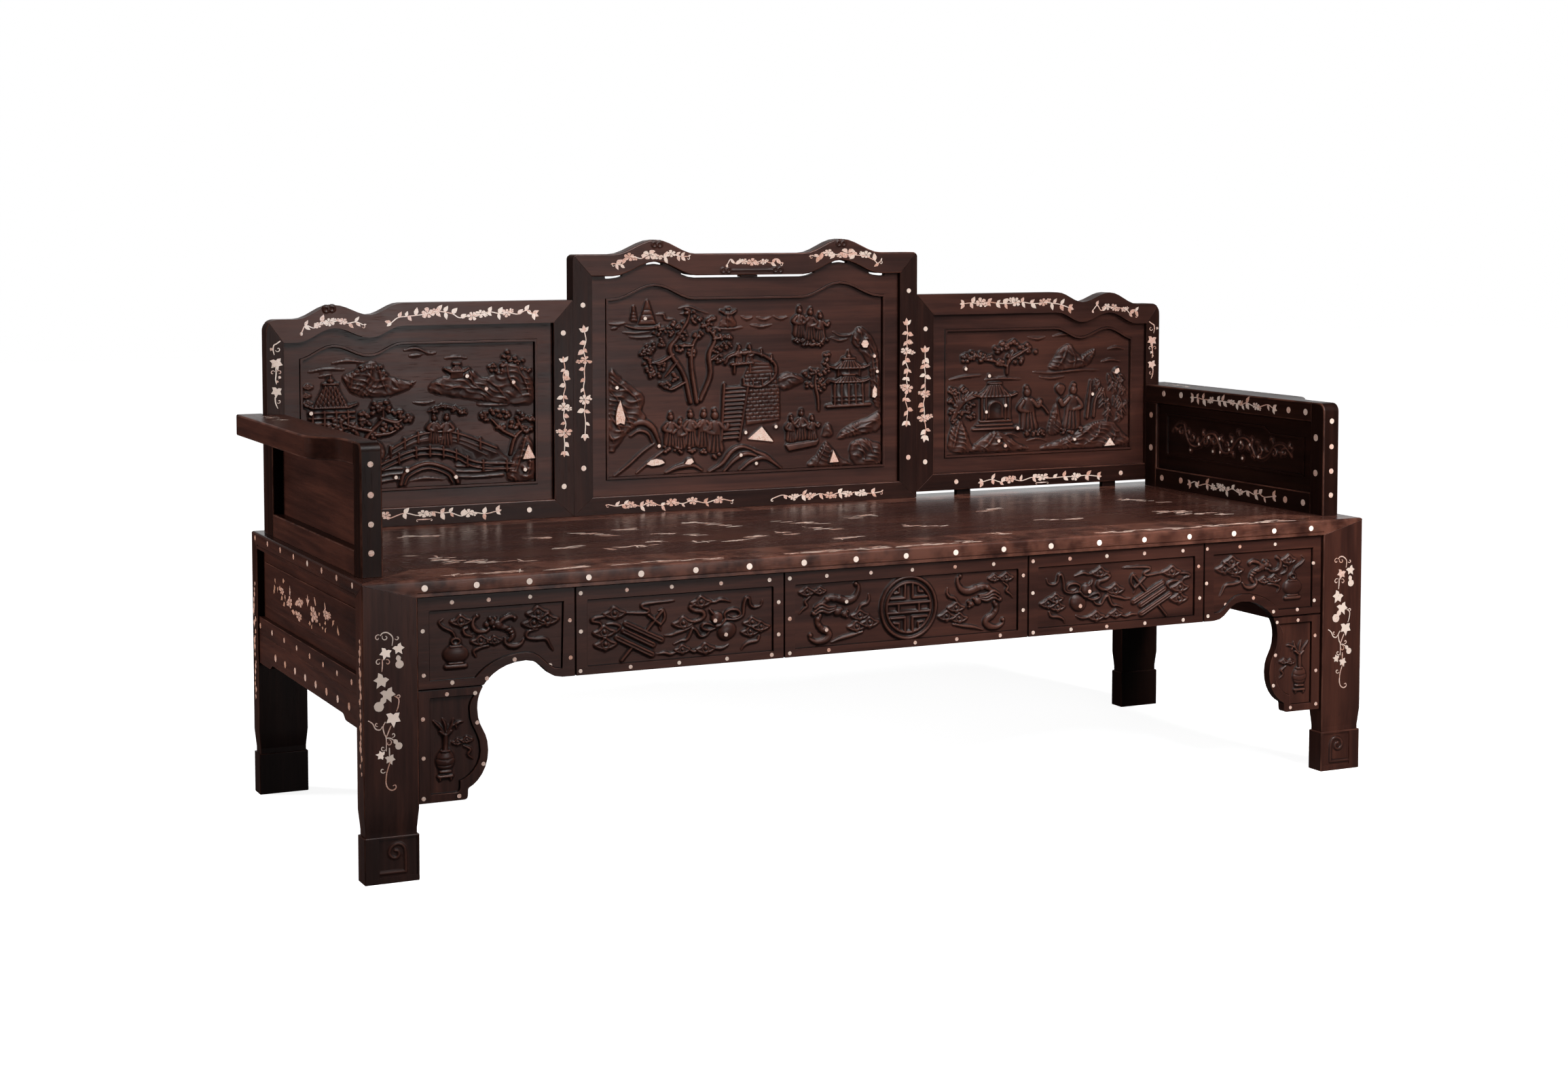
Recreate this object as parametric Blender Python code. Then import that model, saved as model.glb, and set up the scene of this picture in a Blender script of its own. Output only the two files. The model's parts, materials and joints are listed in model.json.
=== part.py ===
"""Rosewood bench: a flush-sided seat on four board legs, with three back panels and two arms that lift out.

Metres, with X along the bench, Y to its rear and Z up. The origin is on the floor below the bench's middle.
"""

import math

import bmesh
import bpy
from mathutils import Matrix, Vector

# Gap between pieces that touch, and the same gap measured straight up at a 45 degree mitre
CLEARANCE = 0.0003
MITRE_GAP = CLEARANCE * math.sqrt(2)

# Seat frame and board
SEAT_LENGTH = 1.950
SEAT_DEPTH = 0.720
SEAT_HEIGHT = 0.480
SEAT_RAIL_WIDTH = 0.112
SEAT_RAIL_THICKNESS = 0.028
SEAT_NOSING = 0.004
SEAT_BOARD_THICKNESS = 0.016
SEAT_TONGUE_REACH = 0.009
SEAT_TONGUE_THICKNESS = 0.006
BEAD_HEIGHT = 0.005
QUIRK_HEIGHT = 0.002
QUIRK_DEPTH = 0.0015
BATTEN_WIDTH = 0.050
BATTEN_THICKNESS = 0.024
BATTEN_SPACING = 0.480

# Legs: boards with the broad face to the front, drawn in at the ankle above a block foot
LEG_WIDTH = 0.090
LEG_DEPTH = 0.038
FOOT_HEIGHT = 0.075
FOOT_OVERLAP = 0.006
ANKLE_INSET = 0.003
ANKLE_TOP = 0.116
ANKLE_BOTTOM = 0.084
FOOT_FIELD_WIDTH = 0.062
FOOT_FIELD_HEIGHT = 0.061
FOOT_FIELD_BORDER = 0.004
FOOT_FIELD_DEPTH = 0.0015

# Front apron: five boards, and a bracket below each outer one
APRON_SETBACK = 0.006
APRON_THICKNESS = 0.018
APRON_DROP = 0.147
APRON_INNER_LENGTH = 0.377
ARCH_SPAN = 0.245
ARCH_MARGIN = 0.0227
ARCH_CROWN = 0.182
ARCH_RISE = 0.032
BRACKET_TOP = 0.302
BRACKET_BOTTOM = 0.120
BRACKET_TOE = 0.071
BRACKET_STEP = 0.012
BRACKET_STEP_RISE = 0.018
BRACKET_BULGE = 0.1174
BRACKET_BULGE_HEIGHT = 0.197
BRACKET_WAIST = 0.0995
BRACKET_WAIST_HEIGHT = 0.266
BRACKET_SHOULDER = 0.110
FIELD_DEPTH = 0.004
FIELD_SIDE_BORDER = 0.020
FIELD_TOP_BORDER = 0.023
FIELD_LOW_BORDER = 0.013

# Sides and rear
SIDE_RAIL_TOP = 0.328
SIDE_RAIL_HEIGHT = 0.031
SIDE_RAIL_SETBACK = 0.003
SIDE_RAIL_THICKNESS = 0.024
SIDE_TENON_LENGTH = 0.018
SIDE_TENON_THICKNESS = 0.010
SIDE_TENON_HEIGHT = 0.019
SIDE_PANEL_SETBACK = 0.012
SIDE_PANEL_THICKNESS = 0.012
SIDE_PANEL_MARGIN = 0.022
SIDE_PANEL_RISE = 0.003
SIDE_APRON_BOTTOM = 0.243
SIDE_APRON_ARCH = 0.009
SIDE_APRON_TOE = 0.070
SIDE_APRON_CURVE = 0.024
REAR_APRON_DROP = 0.092

# Back: three framed panels in line, whose top edges swing between stations
BACK_FRONT_SETBACK = 0.060
BACK_THICKNESS = 0.034
BACK_STILE_WIDTH = 0.039
BACK_OUTER_STILE_WIDTH = 0.032
BACK_TOP_RAIL = 0.042
BACK_BOTTOM_RAIL = 0.035
BACK_INSET = 0.017
BACK_CENTRE_WIDTH = 0.742
BACK_CENTRE_TOP = 0.979
BACK_CENTRE_HUMP = 0.0275
BACK_HUMP_CENTRE = 0.200
BACK_HUMP_INNER = 0.115
BACK_HUMP_OUTER = 0.290
BACK_CENTRE_CORNER = 0.009
BACK_SIDE_TOP = 0.893
BACK_SIDE_LEVEL = 0.254
BACK_SIDE_VALLEY = 0.192
BACK_SIDE_VALLEY_DROP = 0.021
BACK_SIDE_HUMP = 0.125
BACK_SIDE_HUMP_DROP = 0.002
BACK_SIDE_SHOULDER = 0.056
BACK_SIDE_SHOULDER_DROP = 0.027
BACK_SIDE_CORNER = 0.020
BACK_SEAM_CORNER = 0.002
BACK_RIGHT_RISE = 0.011
PANEL_SETBACK = 0.010
PANEL_THICKNESS = 0.012
PANEL_TONGUE = 0.008
PANEL_MARGIN = 0.031
PANEL_CENTRE_TOP_MARGIN = 0.043
BORDER_WIDTH = 0.004
BORDER_RISE = 0.003
SLIT_HEIGHT = 0.0045
SLIT_HALF_LENGTH = 0.144
PEAK_SLIT_LENGTH = 0.034
OUTER_SLIT_START = 0.266
OUTER_SLIT_LENGTH = 0.036
SPACER_LENGTH = 0.036
SPACER_DEPTH = 0.018

# Arms
ARM_TOP = 0.695
ARM_INSET = 0.015
ARM_THICKNESS = 0.036
ARM_FRONT_SETBACK = 0.055
ARM_FRONT_POST = 0.040
ARM_REAR_POST = 0.042
ARM_TOP_RAIL = 0.038
ARM_BOTTOM_RAIL = 0.040
ARM_CORNER = 0.016
ARM_WING = 0.044
ARM_WING_REAR = 0.045
ARM_WING_FRONT = 0.185
ARM_OGEE_LENGTH = 0.100
ARM_PANEL_SETBACK = 0.008
ARM_PANEL_THICKNESS = 0.010
ARM_PANEL_MARGIN = 0.027
ARM_PANEL_TOP_MARGIN = 0.020
ARM_PANEL_STEP = 0.013
ARM_PANEL_STEP_PLACE = 0.105
ARM_PANEL_STEP_LENGTH = 0.026

# Tenons that stand the back panels and the arms on the seat frame
TENON_LENGTH = 0.032
TENON_THICKNESS = 0.012
TENON_IN_SEAT = 0.023
TENON_IN_FRAME = 0.014
BACK_TENON_INSET = 0.1165
ARM_TENON_INSET = 0.100

# How curves are drawn: steps in each, and how soon a curve leaves its first line, as a share of its rise
CURVE_STEPS = 6
NOSING_STEPS = 3
ARCH_SPRING = 1 / 6
BELLY_SPRING = 1 / 9
NECK_SPRING = 1 / 4

# How far cutters pass through, what counts as one point, and the angle between faces that count as one
CUT_MARGIN = 0.010
WELD = CLEARANCE / 10
ONE_PLANE = math.radians(1)

# Angles of an outline's corners, in degrees
LEFTWARD, LEFT_MITRE, UPWARD, RIGHT_MITRE, RIGHTWARD = 180, 135, 90, 45, 0

# Finishes: dark red-brown rosewood, a shade lighter on the seat board and darker on the carved boards
ROSEWOOD = (0.038, 0.013, 0.009)
SEAT_ROSEWOOD = (0.052, 0.018, 0.012)
CARVED_ROSEWOOD = (0.030, 0.011, 0.008)
ROSEWOOD_ROUGHNESS = 0.34

# Places worked out from the sizes above
HALF_LENGTH = SEAT_LENGTH / 2
HALF_DEPTH = SEAT_DEPTH / 2
RAIL_BOTTOM = SEAT_HEIGHT - SEAT_RAIL_THICKNESS
LEG_INNER = HALF_LENGTH - LEG_WIDTH
LEG_REAR = HALF_DEPTH - LEG_DEPTH
APRON_TOP = RAIL_BOTTOM - CLEARANCE
APRON_BOTTOM = RAIL_BOTTOM - APRON_DROP
APRON_FRONT = -HALF_DEPTH + APRON_SETBACK
APRON_REAR = APRON_FRONT + APRON_THICKNESS
BACK_FRONT = HALF_DEPTH - BACK_FRONT_SETBACK
BACK_REAR = BACK_FRONT + BACK_THICKNESS
BACK_MIDDLE = (BACK_FRONT + BACK_REAR) / 2
BACK_END = HALF_LENGTH - BACK_INSET
FRAME_FOOT = SEAT_HEIGHT + CLEARANCE
ARM_OUTER = HALF_LENGTH - ARM_INSET
ARM_INNER = ARM_OUTER - ARM_THICKNESS
ARM_MIDDLE = (ARM_OUTER + ARM_INNER) / 2
ARM_FRONT = -HALF_DEPTH + ARM_FRONT_SETBACK
ARM_REAR = BACK_FRONT - CLEARANCE

# Turns that lay a flat outline, drawn on X and Y with its thickness along Z, into one of the bench's planes
PLANES = {
    "XY": Matrix(((1, 0, 0), (0, 1, 0), (0, 0, 1))),
    "XZ": Matrix(((1, 0, 0), (0, 0, -1), (0, 1, 0))),
    "YZ": Matrix(((0, 0, 1), (1, 0, 0), (0, 1, 0))),
}
THICKNESS_AXIS = {"XY": Vector((0, 0, 1)), "XZ": Vector((0, 1, 0)), "YZ": Vector((1, 0, 0))}


def new_collection(name):
    collection = bpy.data.collections.new(name)
    bpy.context.scene.collection.children.link(collection)
    return collection


def clear_scene():
    for item in list(bpy.data.objects):
        bpy.data.objects.remove(item, do_unlink=True)


clear_scene()
BENCH = new_collection("inlaid_bench")
CUTTERS = new_collection("cutters")


def mesh_object(name, shape, place):
    """An object of the given bmesh, standing at place."""
    mesh = bpy.data.meshes.new(name)
    shape.to_mesh(mesh)
    shape.free()
    item = bpy.data.objects.new(name, mesh)
    item.location = place
    return item


def box(name, low, high):
    """A block between two corners."""
    low, high = Vector(map(min, low, high)), Vector(map(max, low, high))
    shape = bmesh.new()
    bmesh.ops.create_cube(shape, size=1.0)
    bmesh.ops.scale(shape, vec=high - low, verts=shape.verts)
    return mesh_object(name, shape, (low + high) / 2)


def plate(name, outline, low, high, plane="XZ"):
    """A flat outline with its thickness between low and high, square to the plane."""
    curve = bpy.data.curves.new(name, "CURVE")
    curve.dimensions = "2D"
    curve.fill_mode = "BOTH"
    curve.extrude = abs(high - low) / 2
    spline = curve.splines.new("POLY")
    spline.points.add(len(outline) - 1)
    for point, (across, up) in zip(spline.points, outline):
        point.co = (across, up, 0, 1)
    spline.use_cyclic_u = True
    flat = bpy.data.objects.new(name + "_outline", curve)
    flat.matrix_world = PLANES[plane].to_4x4()
    flat.location = THICKNESS_AXIS[plane] * (low + high) / 2
    CUTTERS.objects.link(flat)
    bpy.context.view_layer.update()
    solid = flat.evaluated_get(bpy.context.evaluated_depsgraph_get())
    shape = bmesh.new()
    mesh = bpy.data.meshes.new_from_object(solid)
    shape.from_mesh(mesh)
    bmesh.ops.remove_doubles(shape, verts=shape.verts, dist=WELD)
    bmesh.ops.recalc_face_normals(shape, faces=shape.faces)
    shape.to_mesh(mesh)
    shape.free()
    item = bpy.data.objects.new(name, mesh)
    item.matrix_world = flat.matrix_world.copy()
    bpy.data.objects.remove(flat, do_unlink=True)
    return item


def boolean(target, other, operation):
    change = target.modifiers.new(other.name, "BOOLEAN")
    change.operation = operation
    change.solver = "EXACT"
    change.object = other


def hide_helper(item):
    if item.name not in CUTTERS.objects:
        CUTTERS.objects.link(item)
    item.hide_render = True
    item.display_type = "WIRE"


def cut(targets, cutter):
    """Takes the cutter's shape out of each target."""
    hide_helper(cutter)
    for target in targets:
        boolean(target, cutter, "DIFFERENCE")


def fuse(target, addition):
    """Adds a shape to the target, as one solid."""
    hide_helper(addition)
    boolean(target, addition, "UNION")


def finish(item, colour, parent=None):
    """Gives a piece its wood and puts it in the bench, riding on its parent if it has one."""
    material = bpy.data.materials.new(item.name + "_wood")
    material.use_nodes = True
    shader = material.node_tree.nodes["Principled BSDF"]
    shader.inputs["Base Color"].default_value = (*colour, 1)
    shader.inputs["Roughness"].default_value = ROSEWOOD_ROUGHNESS
    shader.inputs["Metallic"].default_value = 0.0
    item.data.materials.clear()
    item.data.materials.append(material)
    BENCH.objects.link(item)
    if parent:
        item.parent = parent
        item.matrix_parent_inverse = Matrix.Translation(parent.location).inverted()
    return item


def lifting_body(name, place):
    """The empty that a piece's parts ride on when it is lifted out of the seat."""
    empty = bpy.data.objects.new(name + "_lift", None)
    empty.location = place
    BENCH.objects.link(empty)
    return empty


def mirrored(side, outline):
    """The outline on the given side of the bench, from one drawn at positive X."""
    return [(side * across, up) for across, up in outline]


def bezier(start, handle, other_handle, end):
    """Points of a curve after its start."""
    points = []
    for step in range(1, CURVE_STEPS + 1):
        t = step / CURVE_STEPS
        shares = ((1 - t) ** 3, 3 * t * (1 - t) ** 2, 3 * t**2 * (1 - t), t**3)
        controls = (start, handle, other_handle, end)
        points.append(tuple(sum(s * c[axis] for s, c in zip(shares, controls)) for axis in (0, 1)))
    return points


def ogee(start, end, along):
    """Points of an S curve after its start, which leaves and arrives along one axis."""
    handle, other = list(start), list(end)
    half = (end[along] - start[along]) / 2
    handle[along] += half
    other[along] -= half
    return bezier(start, handle, other, end)


def arc(centre, radius, first, last):
    """Points of an arc, with its angles in degrees."""
    angles = [math.radians(first + (last - first) * step / CURVE_STEPS) for step in range(CURVE_STEPS + 1)]
    return [(centre[0] + radius * math.cos(a), centre[1] + radius * math.sin(a)) for a in angles]


def swing_height(stations, across):
    """Height of an edge that swings in half waves from station to station."""
    for (left, low), (right, high) in zip(stations, stations[1:]):
        if across <= right:
            share = min(max((across - left) / (right - left), 0), 1)
            return low + (high - low) * (1 - math.cos(math.pi * share)) / 2
    return stations[-1][1]


def swing(stations, start, end, drop):
    """Points of the swinging edge between two places, lowered by drop."""
    places = [start, end]
    for (left, low), (right, high) in zip(stations, stations[1:]):
        count = CURVE_STEPS if low != high else 1
        places += [left + (right - left) * step / count for step in range(count + 1)]
    spare = CLEARANCE * 2
    kept = sorted({p for p in places if start + spare < p < end - spare} | {start, end})
    kept = [p for i, p in enumerate(kept) if i == 0 or p - kept[i - 1] > spare / 2]
    return [(p, swing_height(stations, p) - drop) for p in kept]


# Legs


def make_leg(name, side, end):
    outer = Vector((side * HALF_LENGTH, end * HALF_DEPTH))
    inner = Vector((side * LEG_INNER, end * LEG_REAR))
    middle = (outer + inner) / 2
    top = RAIL_BOTTOM - CLEARANCE
    shape = bmesh.new()
    bmesh.ops.create_cube(shape, size=2.0)
    for vertex in shape.verts:
        vertex.co.x *= LEG_WIDTH / 2
        vertex.co.y *= LEG_DEPTH / 2
        vertex.co.z = top if vertex.co.z > 0 else ANKLE_TOP
    shape.faces.ensure_lookup_table()
    lower = min(shape.faces, key=lambda face: face.calc_center_median().z)
    for height, inset in ((ANKLE_BOTTOM, ANKLE_INSET), (FOOT_HEIGHT - FOOT_OVERLAP, ANKLE_INSET)):
        grown = bmesh.ops.extrude_face_region(shape, geom=[lower])["geom"]
        bmesh.ops.delete(shape, geom=[lower], context="FACES_ONLY")
        lower = next(part for part in grown if isinstance(part, bmesh.types.BMFace))
        for vertex in lower.verts:
            vertex.co.x = math.copysign(LEG_WIDTH / 2 - inset, vertex.co.x)
            vertex.co.y = math.copysign(LEG_DEPTH / 2 - inset, vertex.co.y)
            vertex.co.z = height
    # The three-way mitre: the leg's outer corner rises between the two rails to the nosing.
    crown = [v for v in shape.verts if v.co.z == max(w.co.z for w in shape.verts)]
    peak = next(v for v in crown if v.co.x * side > 0 and v.co.y * end > 0)
    valley = next(v for v in crown if v.co.x * side < 0 and v.co.y * end < 0)
    bmesh.ops.connect_verts(shape, verts=[peak, valley])
    peak.co.z = SEAT_HEIGHT - SEAT_NOSING
    bmesh.ops.recalc_face_normals(shape, faces=shape.faces)
    leg = mesh_object(name, shape, (middle.x, middle.y, 0))
    foot = box(name + "_foot", (inner.x, inner.y, 0), (outer.x, outer.y, FOOT_HEIGHT))
    fuse(leg, foot)
    if end < 0:
        sink_foot_field(leg, side)
    return finish(leg, ROSEWOOD)


def sink_foot_field(leg, side):
    """The sunk field for the scroll carved on a front foot, towards the bench's middle."""
    near = LEG_INNER + FOOT_FIELD_BORDER
    top = FOOT_HEIGHT - FOOT_FIELD_BORDER
    low = (side * near, -HALF_DEPTH - CUT_MARGIN, top - FOOT_FIELD_HEIGHT)
    high = (side * (near + FOOT_FIELD_WIDTH), -HALF_DEPTH + FOOT_FIELD_DEPTH, top)
    cut([leg], box(leg.name + "_field", low, high))


def leg_mitre_cutter(name, side, end):
    """The leg's rising corner, drawn longer at both ends of its ridge and lifted by the clearance."""
    inner = Vector((side * LEG_INNER, end * LEG_REAR, RAIL_BOTTOM - CLEARANCE))
    peak = Vector((side * HALF_LENGTH, end * HALF_DEPTH, SEAT_HEIGHT - SEAT_NOSING))
    ridge = peak - inner
    stretch = CUT_MARGIN / LEG_WIDTH
    inner, peak = inner - ridge * stretch, peak + ridge * stretch
    cutter = box(name, inner, peak)
    shape = bmesh.new()
    shape.from_mesh(cutter.data)
    crown = [v for v in shape.verts if v.co.z > 0]
    bmesh.ops.pointmerge(shape, verts=crown, merge_co=peak - cutter.location)
    shape.to_mesh(cutter.data)
    shape.free()
    cutter.location.z += CLEARANCE
    return cutter


# Seat


def make_seat_rail(name, outline, outward):
    """A mitred rail with its outer top edge rounded."""
    rail = plate(name, outline, RAIL_BOTTOM, SEAT_HEIGHT, "XY")
    shape = bmesh.new()
    shape.from_mesh(rail.data)
    bmesh.ops.dissolve_limit(shape, angle_limit=ONE_PLANE, verts=shape.verts, edges=shape.edges)
    face = max(shape.faces, key=lambda f: f.normal.dot(outward))
    edge = max(face.edges, key=lambda e: sum(v.co.z for v in e.verts))
    bmesh.ops.bevel(
        shape, geom=[edge], offset=SEAT_NOSING, segments=NOSING_STEPS, profile=0.5, affect="EDGES"
    )
    shape.to_mesh(rail.data)
    shape.free()
    return finish(rail, ROSEWOOD)


def seat_rail_outline(half_run, half_depth, inset):
    """A trapezium along X, at negative Y, with mitred ends drawn in by inset."""
    inner_run, inner_depth = half_run - SEAT_RAIL_WIDTH, half_depth - SEAT_RAIL_WIDTH
    return [
        (-half_run + inset, -half_depth),
        (half_run - inset, -half_depth),
        (inner_run - inset, -inner_depth),
        (-inner_run + inset, -inner_depth),
    ]


def make_seat():
    long_outline = seat_rail_outline(HALF_LENGTH, HALF_DEPTH, 0)
    short_outline = seat_rail_outline(HALF_DEPTH, HALF_LENGTH, MITRE_GAP)
    rails = {
        "front": make_seat_rail("seat_front_rail", long_outline, Vector((0, -1, 0))),
        "rear": make_seat_rail("seat_rear_rail", [(x, -y) for x, y in long_outline], Vector((0, 1, 0))),
        "left": make_seat_rail("seat_left_rail", [(y, x) for x, y in short_outline], Vector((-1, 0, 0))),
        "right": make_seat_rail("seat_right_rail", [(-y, x) for x, y in short_outline], Vector((1, 0, 0))),
    }
    cut_beads(rails)
    for side, side_name in ((-1, "left"), (1, "right")):
        for end, end_name in ((-1, "front"), (1, "rear")):
            cutter = leg_mitre_cutter(f"{end_name}_{side_name}_mitre", side, end)
            cut([rails[side_name], rails[end_name]], cutter)
    board_x = HALF_LENGTH - SEAT_RAIL_WIDTH - CLEARANCE
    board_y = HALF_DEPTH - SEAT_RAIL_WIDTH - CLEARANCE
    board_low = SEAT_HEIGHT - SEAT_BOARD_THICKNESS
    board = box("seat_board", (-board_x, -board_y, board_low), (board_x, board_y, SEAT_HEIGHT))
    tongue_low = board_low + (SEAT_BOARD_THICKNESS - SEAT_TONGUE_THICKNESS) / 2
    tongue_high = tongue_low + SEAT_TONGUE_THICKNESS

    def tongue(name, spare):
        reach_x, reach_y = board_x + SEAT_TONGUE_REACH + spare, board_y + SEAT_TONGUE_REACH + spare
        return box(name, (-reach_x, -reach_y, tongue_low - spare), (reach_x, reach_y, tongue_high + spare))

    fuse(board, tongue("seat_board_tongue", 0))
    cut(rails.values(), tongue("seat_board_groove", CLEARANCE))
    finish(board, SEAT_ROSEWOOD)
    batten_top = board_low - CLEARANCE
    for place, name in ((-1, "left"), (0, "centre"), (1, "right")):
        middle = place * BATTEN_SPACING
        low = (middle - BATTEN_WIDTH / 2, -board_y, batten_top - BATTEN_THICKNESS)
        finish(box(f"seat_batten_{name}", low, (middle + BATTEN_WIDTH / 2, board_y, batten_top)), ROSEWOOD)
    return rails


def cut_beads(rails):
    """The fine groove over the bead along the lower edge of each rail, between the legs."""
    low, high = RAIL_BOTTOM + BEAD_HEIGHT, RAIL_BOTTOM + BEAD_HEIGHT + QUIRK_HEIGHT
    for side, name in ((-1, "left"), (1, "right")):
        inner, outer = side * (HALF_LENGTH - QUIRK_DEPTH), side * (HALF_LENGTH + CUT_MARGIN)
        cut([rails[name]], box(f"seat_{name}_quirk", (inner, -LEG_REAR, low), (outer, LEG_REAR, high)))
    for end, name in ((-1, "front"), (1, "rear")):
        inner, outer = end * (HALF_DEPTH - QUIRK_DEPTH), end * (HALF_DEPTH + CUT_MARGIN)
        cut([rails[name]], box(f"seat_{name}_quirk", (-LEG_INNER, inner, low), (LEG_INNER, outer, high)))


# Front apron


def arch_points(border):
    """The arch's edge from the bracket seam to its far end, measured from the leg, drawn away by a border."""
    start = (BRACKET_SHOULDER - border, BRACKET_TOP + CLEARANCE / 2 + border)
    crown = (ARCH_CROWN, APRON_BOTTOM + ARCH_RISE + border)
    end = (ARCH_SPAN, APRON_BOTTOM + border)
    reach = crown[0] - start[0]
    rise = crown[1] - start[1]
    points = [start]
    spring = (start[0] + reach * ARCH_SPRING, start[1] + rise / 2)
    points += bezier(start, spring, (crown[0] - reach / 2, crown[1]), crown)
    points += ogee(crown, end, 0)
    return points


def bracket_points(border):
    """The bracket's free edge, from its toe to the seam, measured from the leg, drawn in by a border."""
    toe = (BRACKET_TOE - border, BRACKET_BOTTOM + border)
    step = (BRACKET_TOE + BRACKET_STEP - border, BRACKET_BOTTOM + BRACKET_STEP_RISE + border)
    bulge = (BRACKET_BULGE - border, BRACKET_BULGE_HEIGHT)
    waist = (BRACKET_WAIST - border, BRACKET_WAIST_HEIGHT)
    top = (BRACKET_SHOULDER - border, BRACKET_TOP - CLEARANCE / 2 - border)
    points = [toe]
    points += bezier(toe, (step[0], toe[1]), (step[0], toe[1]), step)
    belly = (bulge[0] - step[0], bulge[1] - step[1])
    spring = (step[0] + belly[0] / 2, step[1] + belly[1] * BELLY_SPRING)
    points += bezier(step, spring, (bulge[0], bulge[1] - belly[1] / 2), bulge)
    points += ogee(bulge, waist, 1)
    lift = top[1] - waist[1]
    neck = ((waist[0] + top[0]) / 2, top[1] - lift * NECK_SPRING)
    points += bezier(waist, (waist[0], waist[1] + lift / 2), neck, top)
    return points


def carve_field(board, outline):
    """Sinks the board's carved field below its border."""
    field = plate(board.name + "_field", outline, APRON_FRONT - CUT_MARGIN, APRON_FRONT + FIELD_DEPTH)
    cut([board], field)


def make_front_apron():
    seam = LEG_INNER - ARCH_SPAN - ARCH_MARGIN
    inner_seam = seam - APRON_INNER_LENGTH
    half_gap = CLEARANCE / 2
    runs = {
        "apron_inner_left": (-seam + half_gap, -inner_seam - half_gap),
        "apron_centre": (-inner_seam + half_gap, inner_seam - half_gap),
        "apron_inner_right": (inner_seam + half_gap, seam - half_gap),
    }
    for name, (left, right) in runs.items():
        board = box(name, (left, APRON_FRONT, APRON_BOTTOM), (right, APRON_REAR, APRON_TOP))
        low, high = APRON_BOTTOM + FIELD_LOW_BORDER, APRON_TOP - FIELD_TOP_BORDER
        sides = (left + FIELD_SIDE_BORDER, right - FIELD_SIDE_BORDER)
        carve_field(board, [(sides[0], low), (sides[1], low), (sides[1], high), (sides[0], high)])
        finish(board, CARVED_ROSEWOOD)
    for side, side_name in ((-1, "left"), (1, "right")):
        make_outer_apron(side, side_name, seam + half_gap)
        make_bracket(side, side_name)


def make_outer_apron(side, side_name, seam):
    leg_end = LEG_INNER - CLEARANCE
    edge = [(LEG_INNER - across, up) for across, up in arch_points(0)]
    outline = [(leg_end, APRON_TOP), (leg_end, edge[0][1])] + edge + [(seam, APRON_BOTTOM), (seam, APRON_TOP)]
    board = plate(f"apron_outer_{side_name}", mirrored(side, outline), APRON_FRONT, APRON_REAR)
    edge = [(LEG_INNER - across, up) for across, up in arch_points(FIELD_LOW_BORDER)]
    top = APRON_TOP - FIELD_TOP_BORDER
    leg_side, seam_side = leg_end - FIELD_SIDE_BORDER, seam + FIELD_SIDE_BORDER
    edge = [(max(across, seam_side), up) for across, up in edge]
    field = [(leg_side, top), (leg_side, edge[0][1])] + edge + [(seam_side, top)]
    carve_field(board, mirrored(side, field))
    return finish(board, CARVED_ROSEWOOD)


def make_bracket(side, side_name):
    leg_end = LEG_INNER - CLEARANCE
    edge = [(LEG_INNER - across, up) for across, up in bracket_points(0)]
    outline = [(leg_end, edge[-1][1]), (leg_end, edge[0][1])] + edge
    bracket = plate(f"bracket_{side_name}", mirrored(side, outline), APRON_FRONT, APRON_REAR)
    edge = [(LEG_INNER - across, up) for across, up in bracket_points(FIELD_LOW_BORDER)]
    leg_side = leg_end - FIELD_SIDE_BORDER
    field = [(leg_side, edge[-1][1]), (leg_side, edge[0][1])] + edge
    carve_field(bracket, mirrored(side, field))
    return finish(bracket, CARVED_ROSEWOOD)


# Sides and rear


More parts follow.
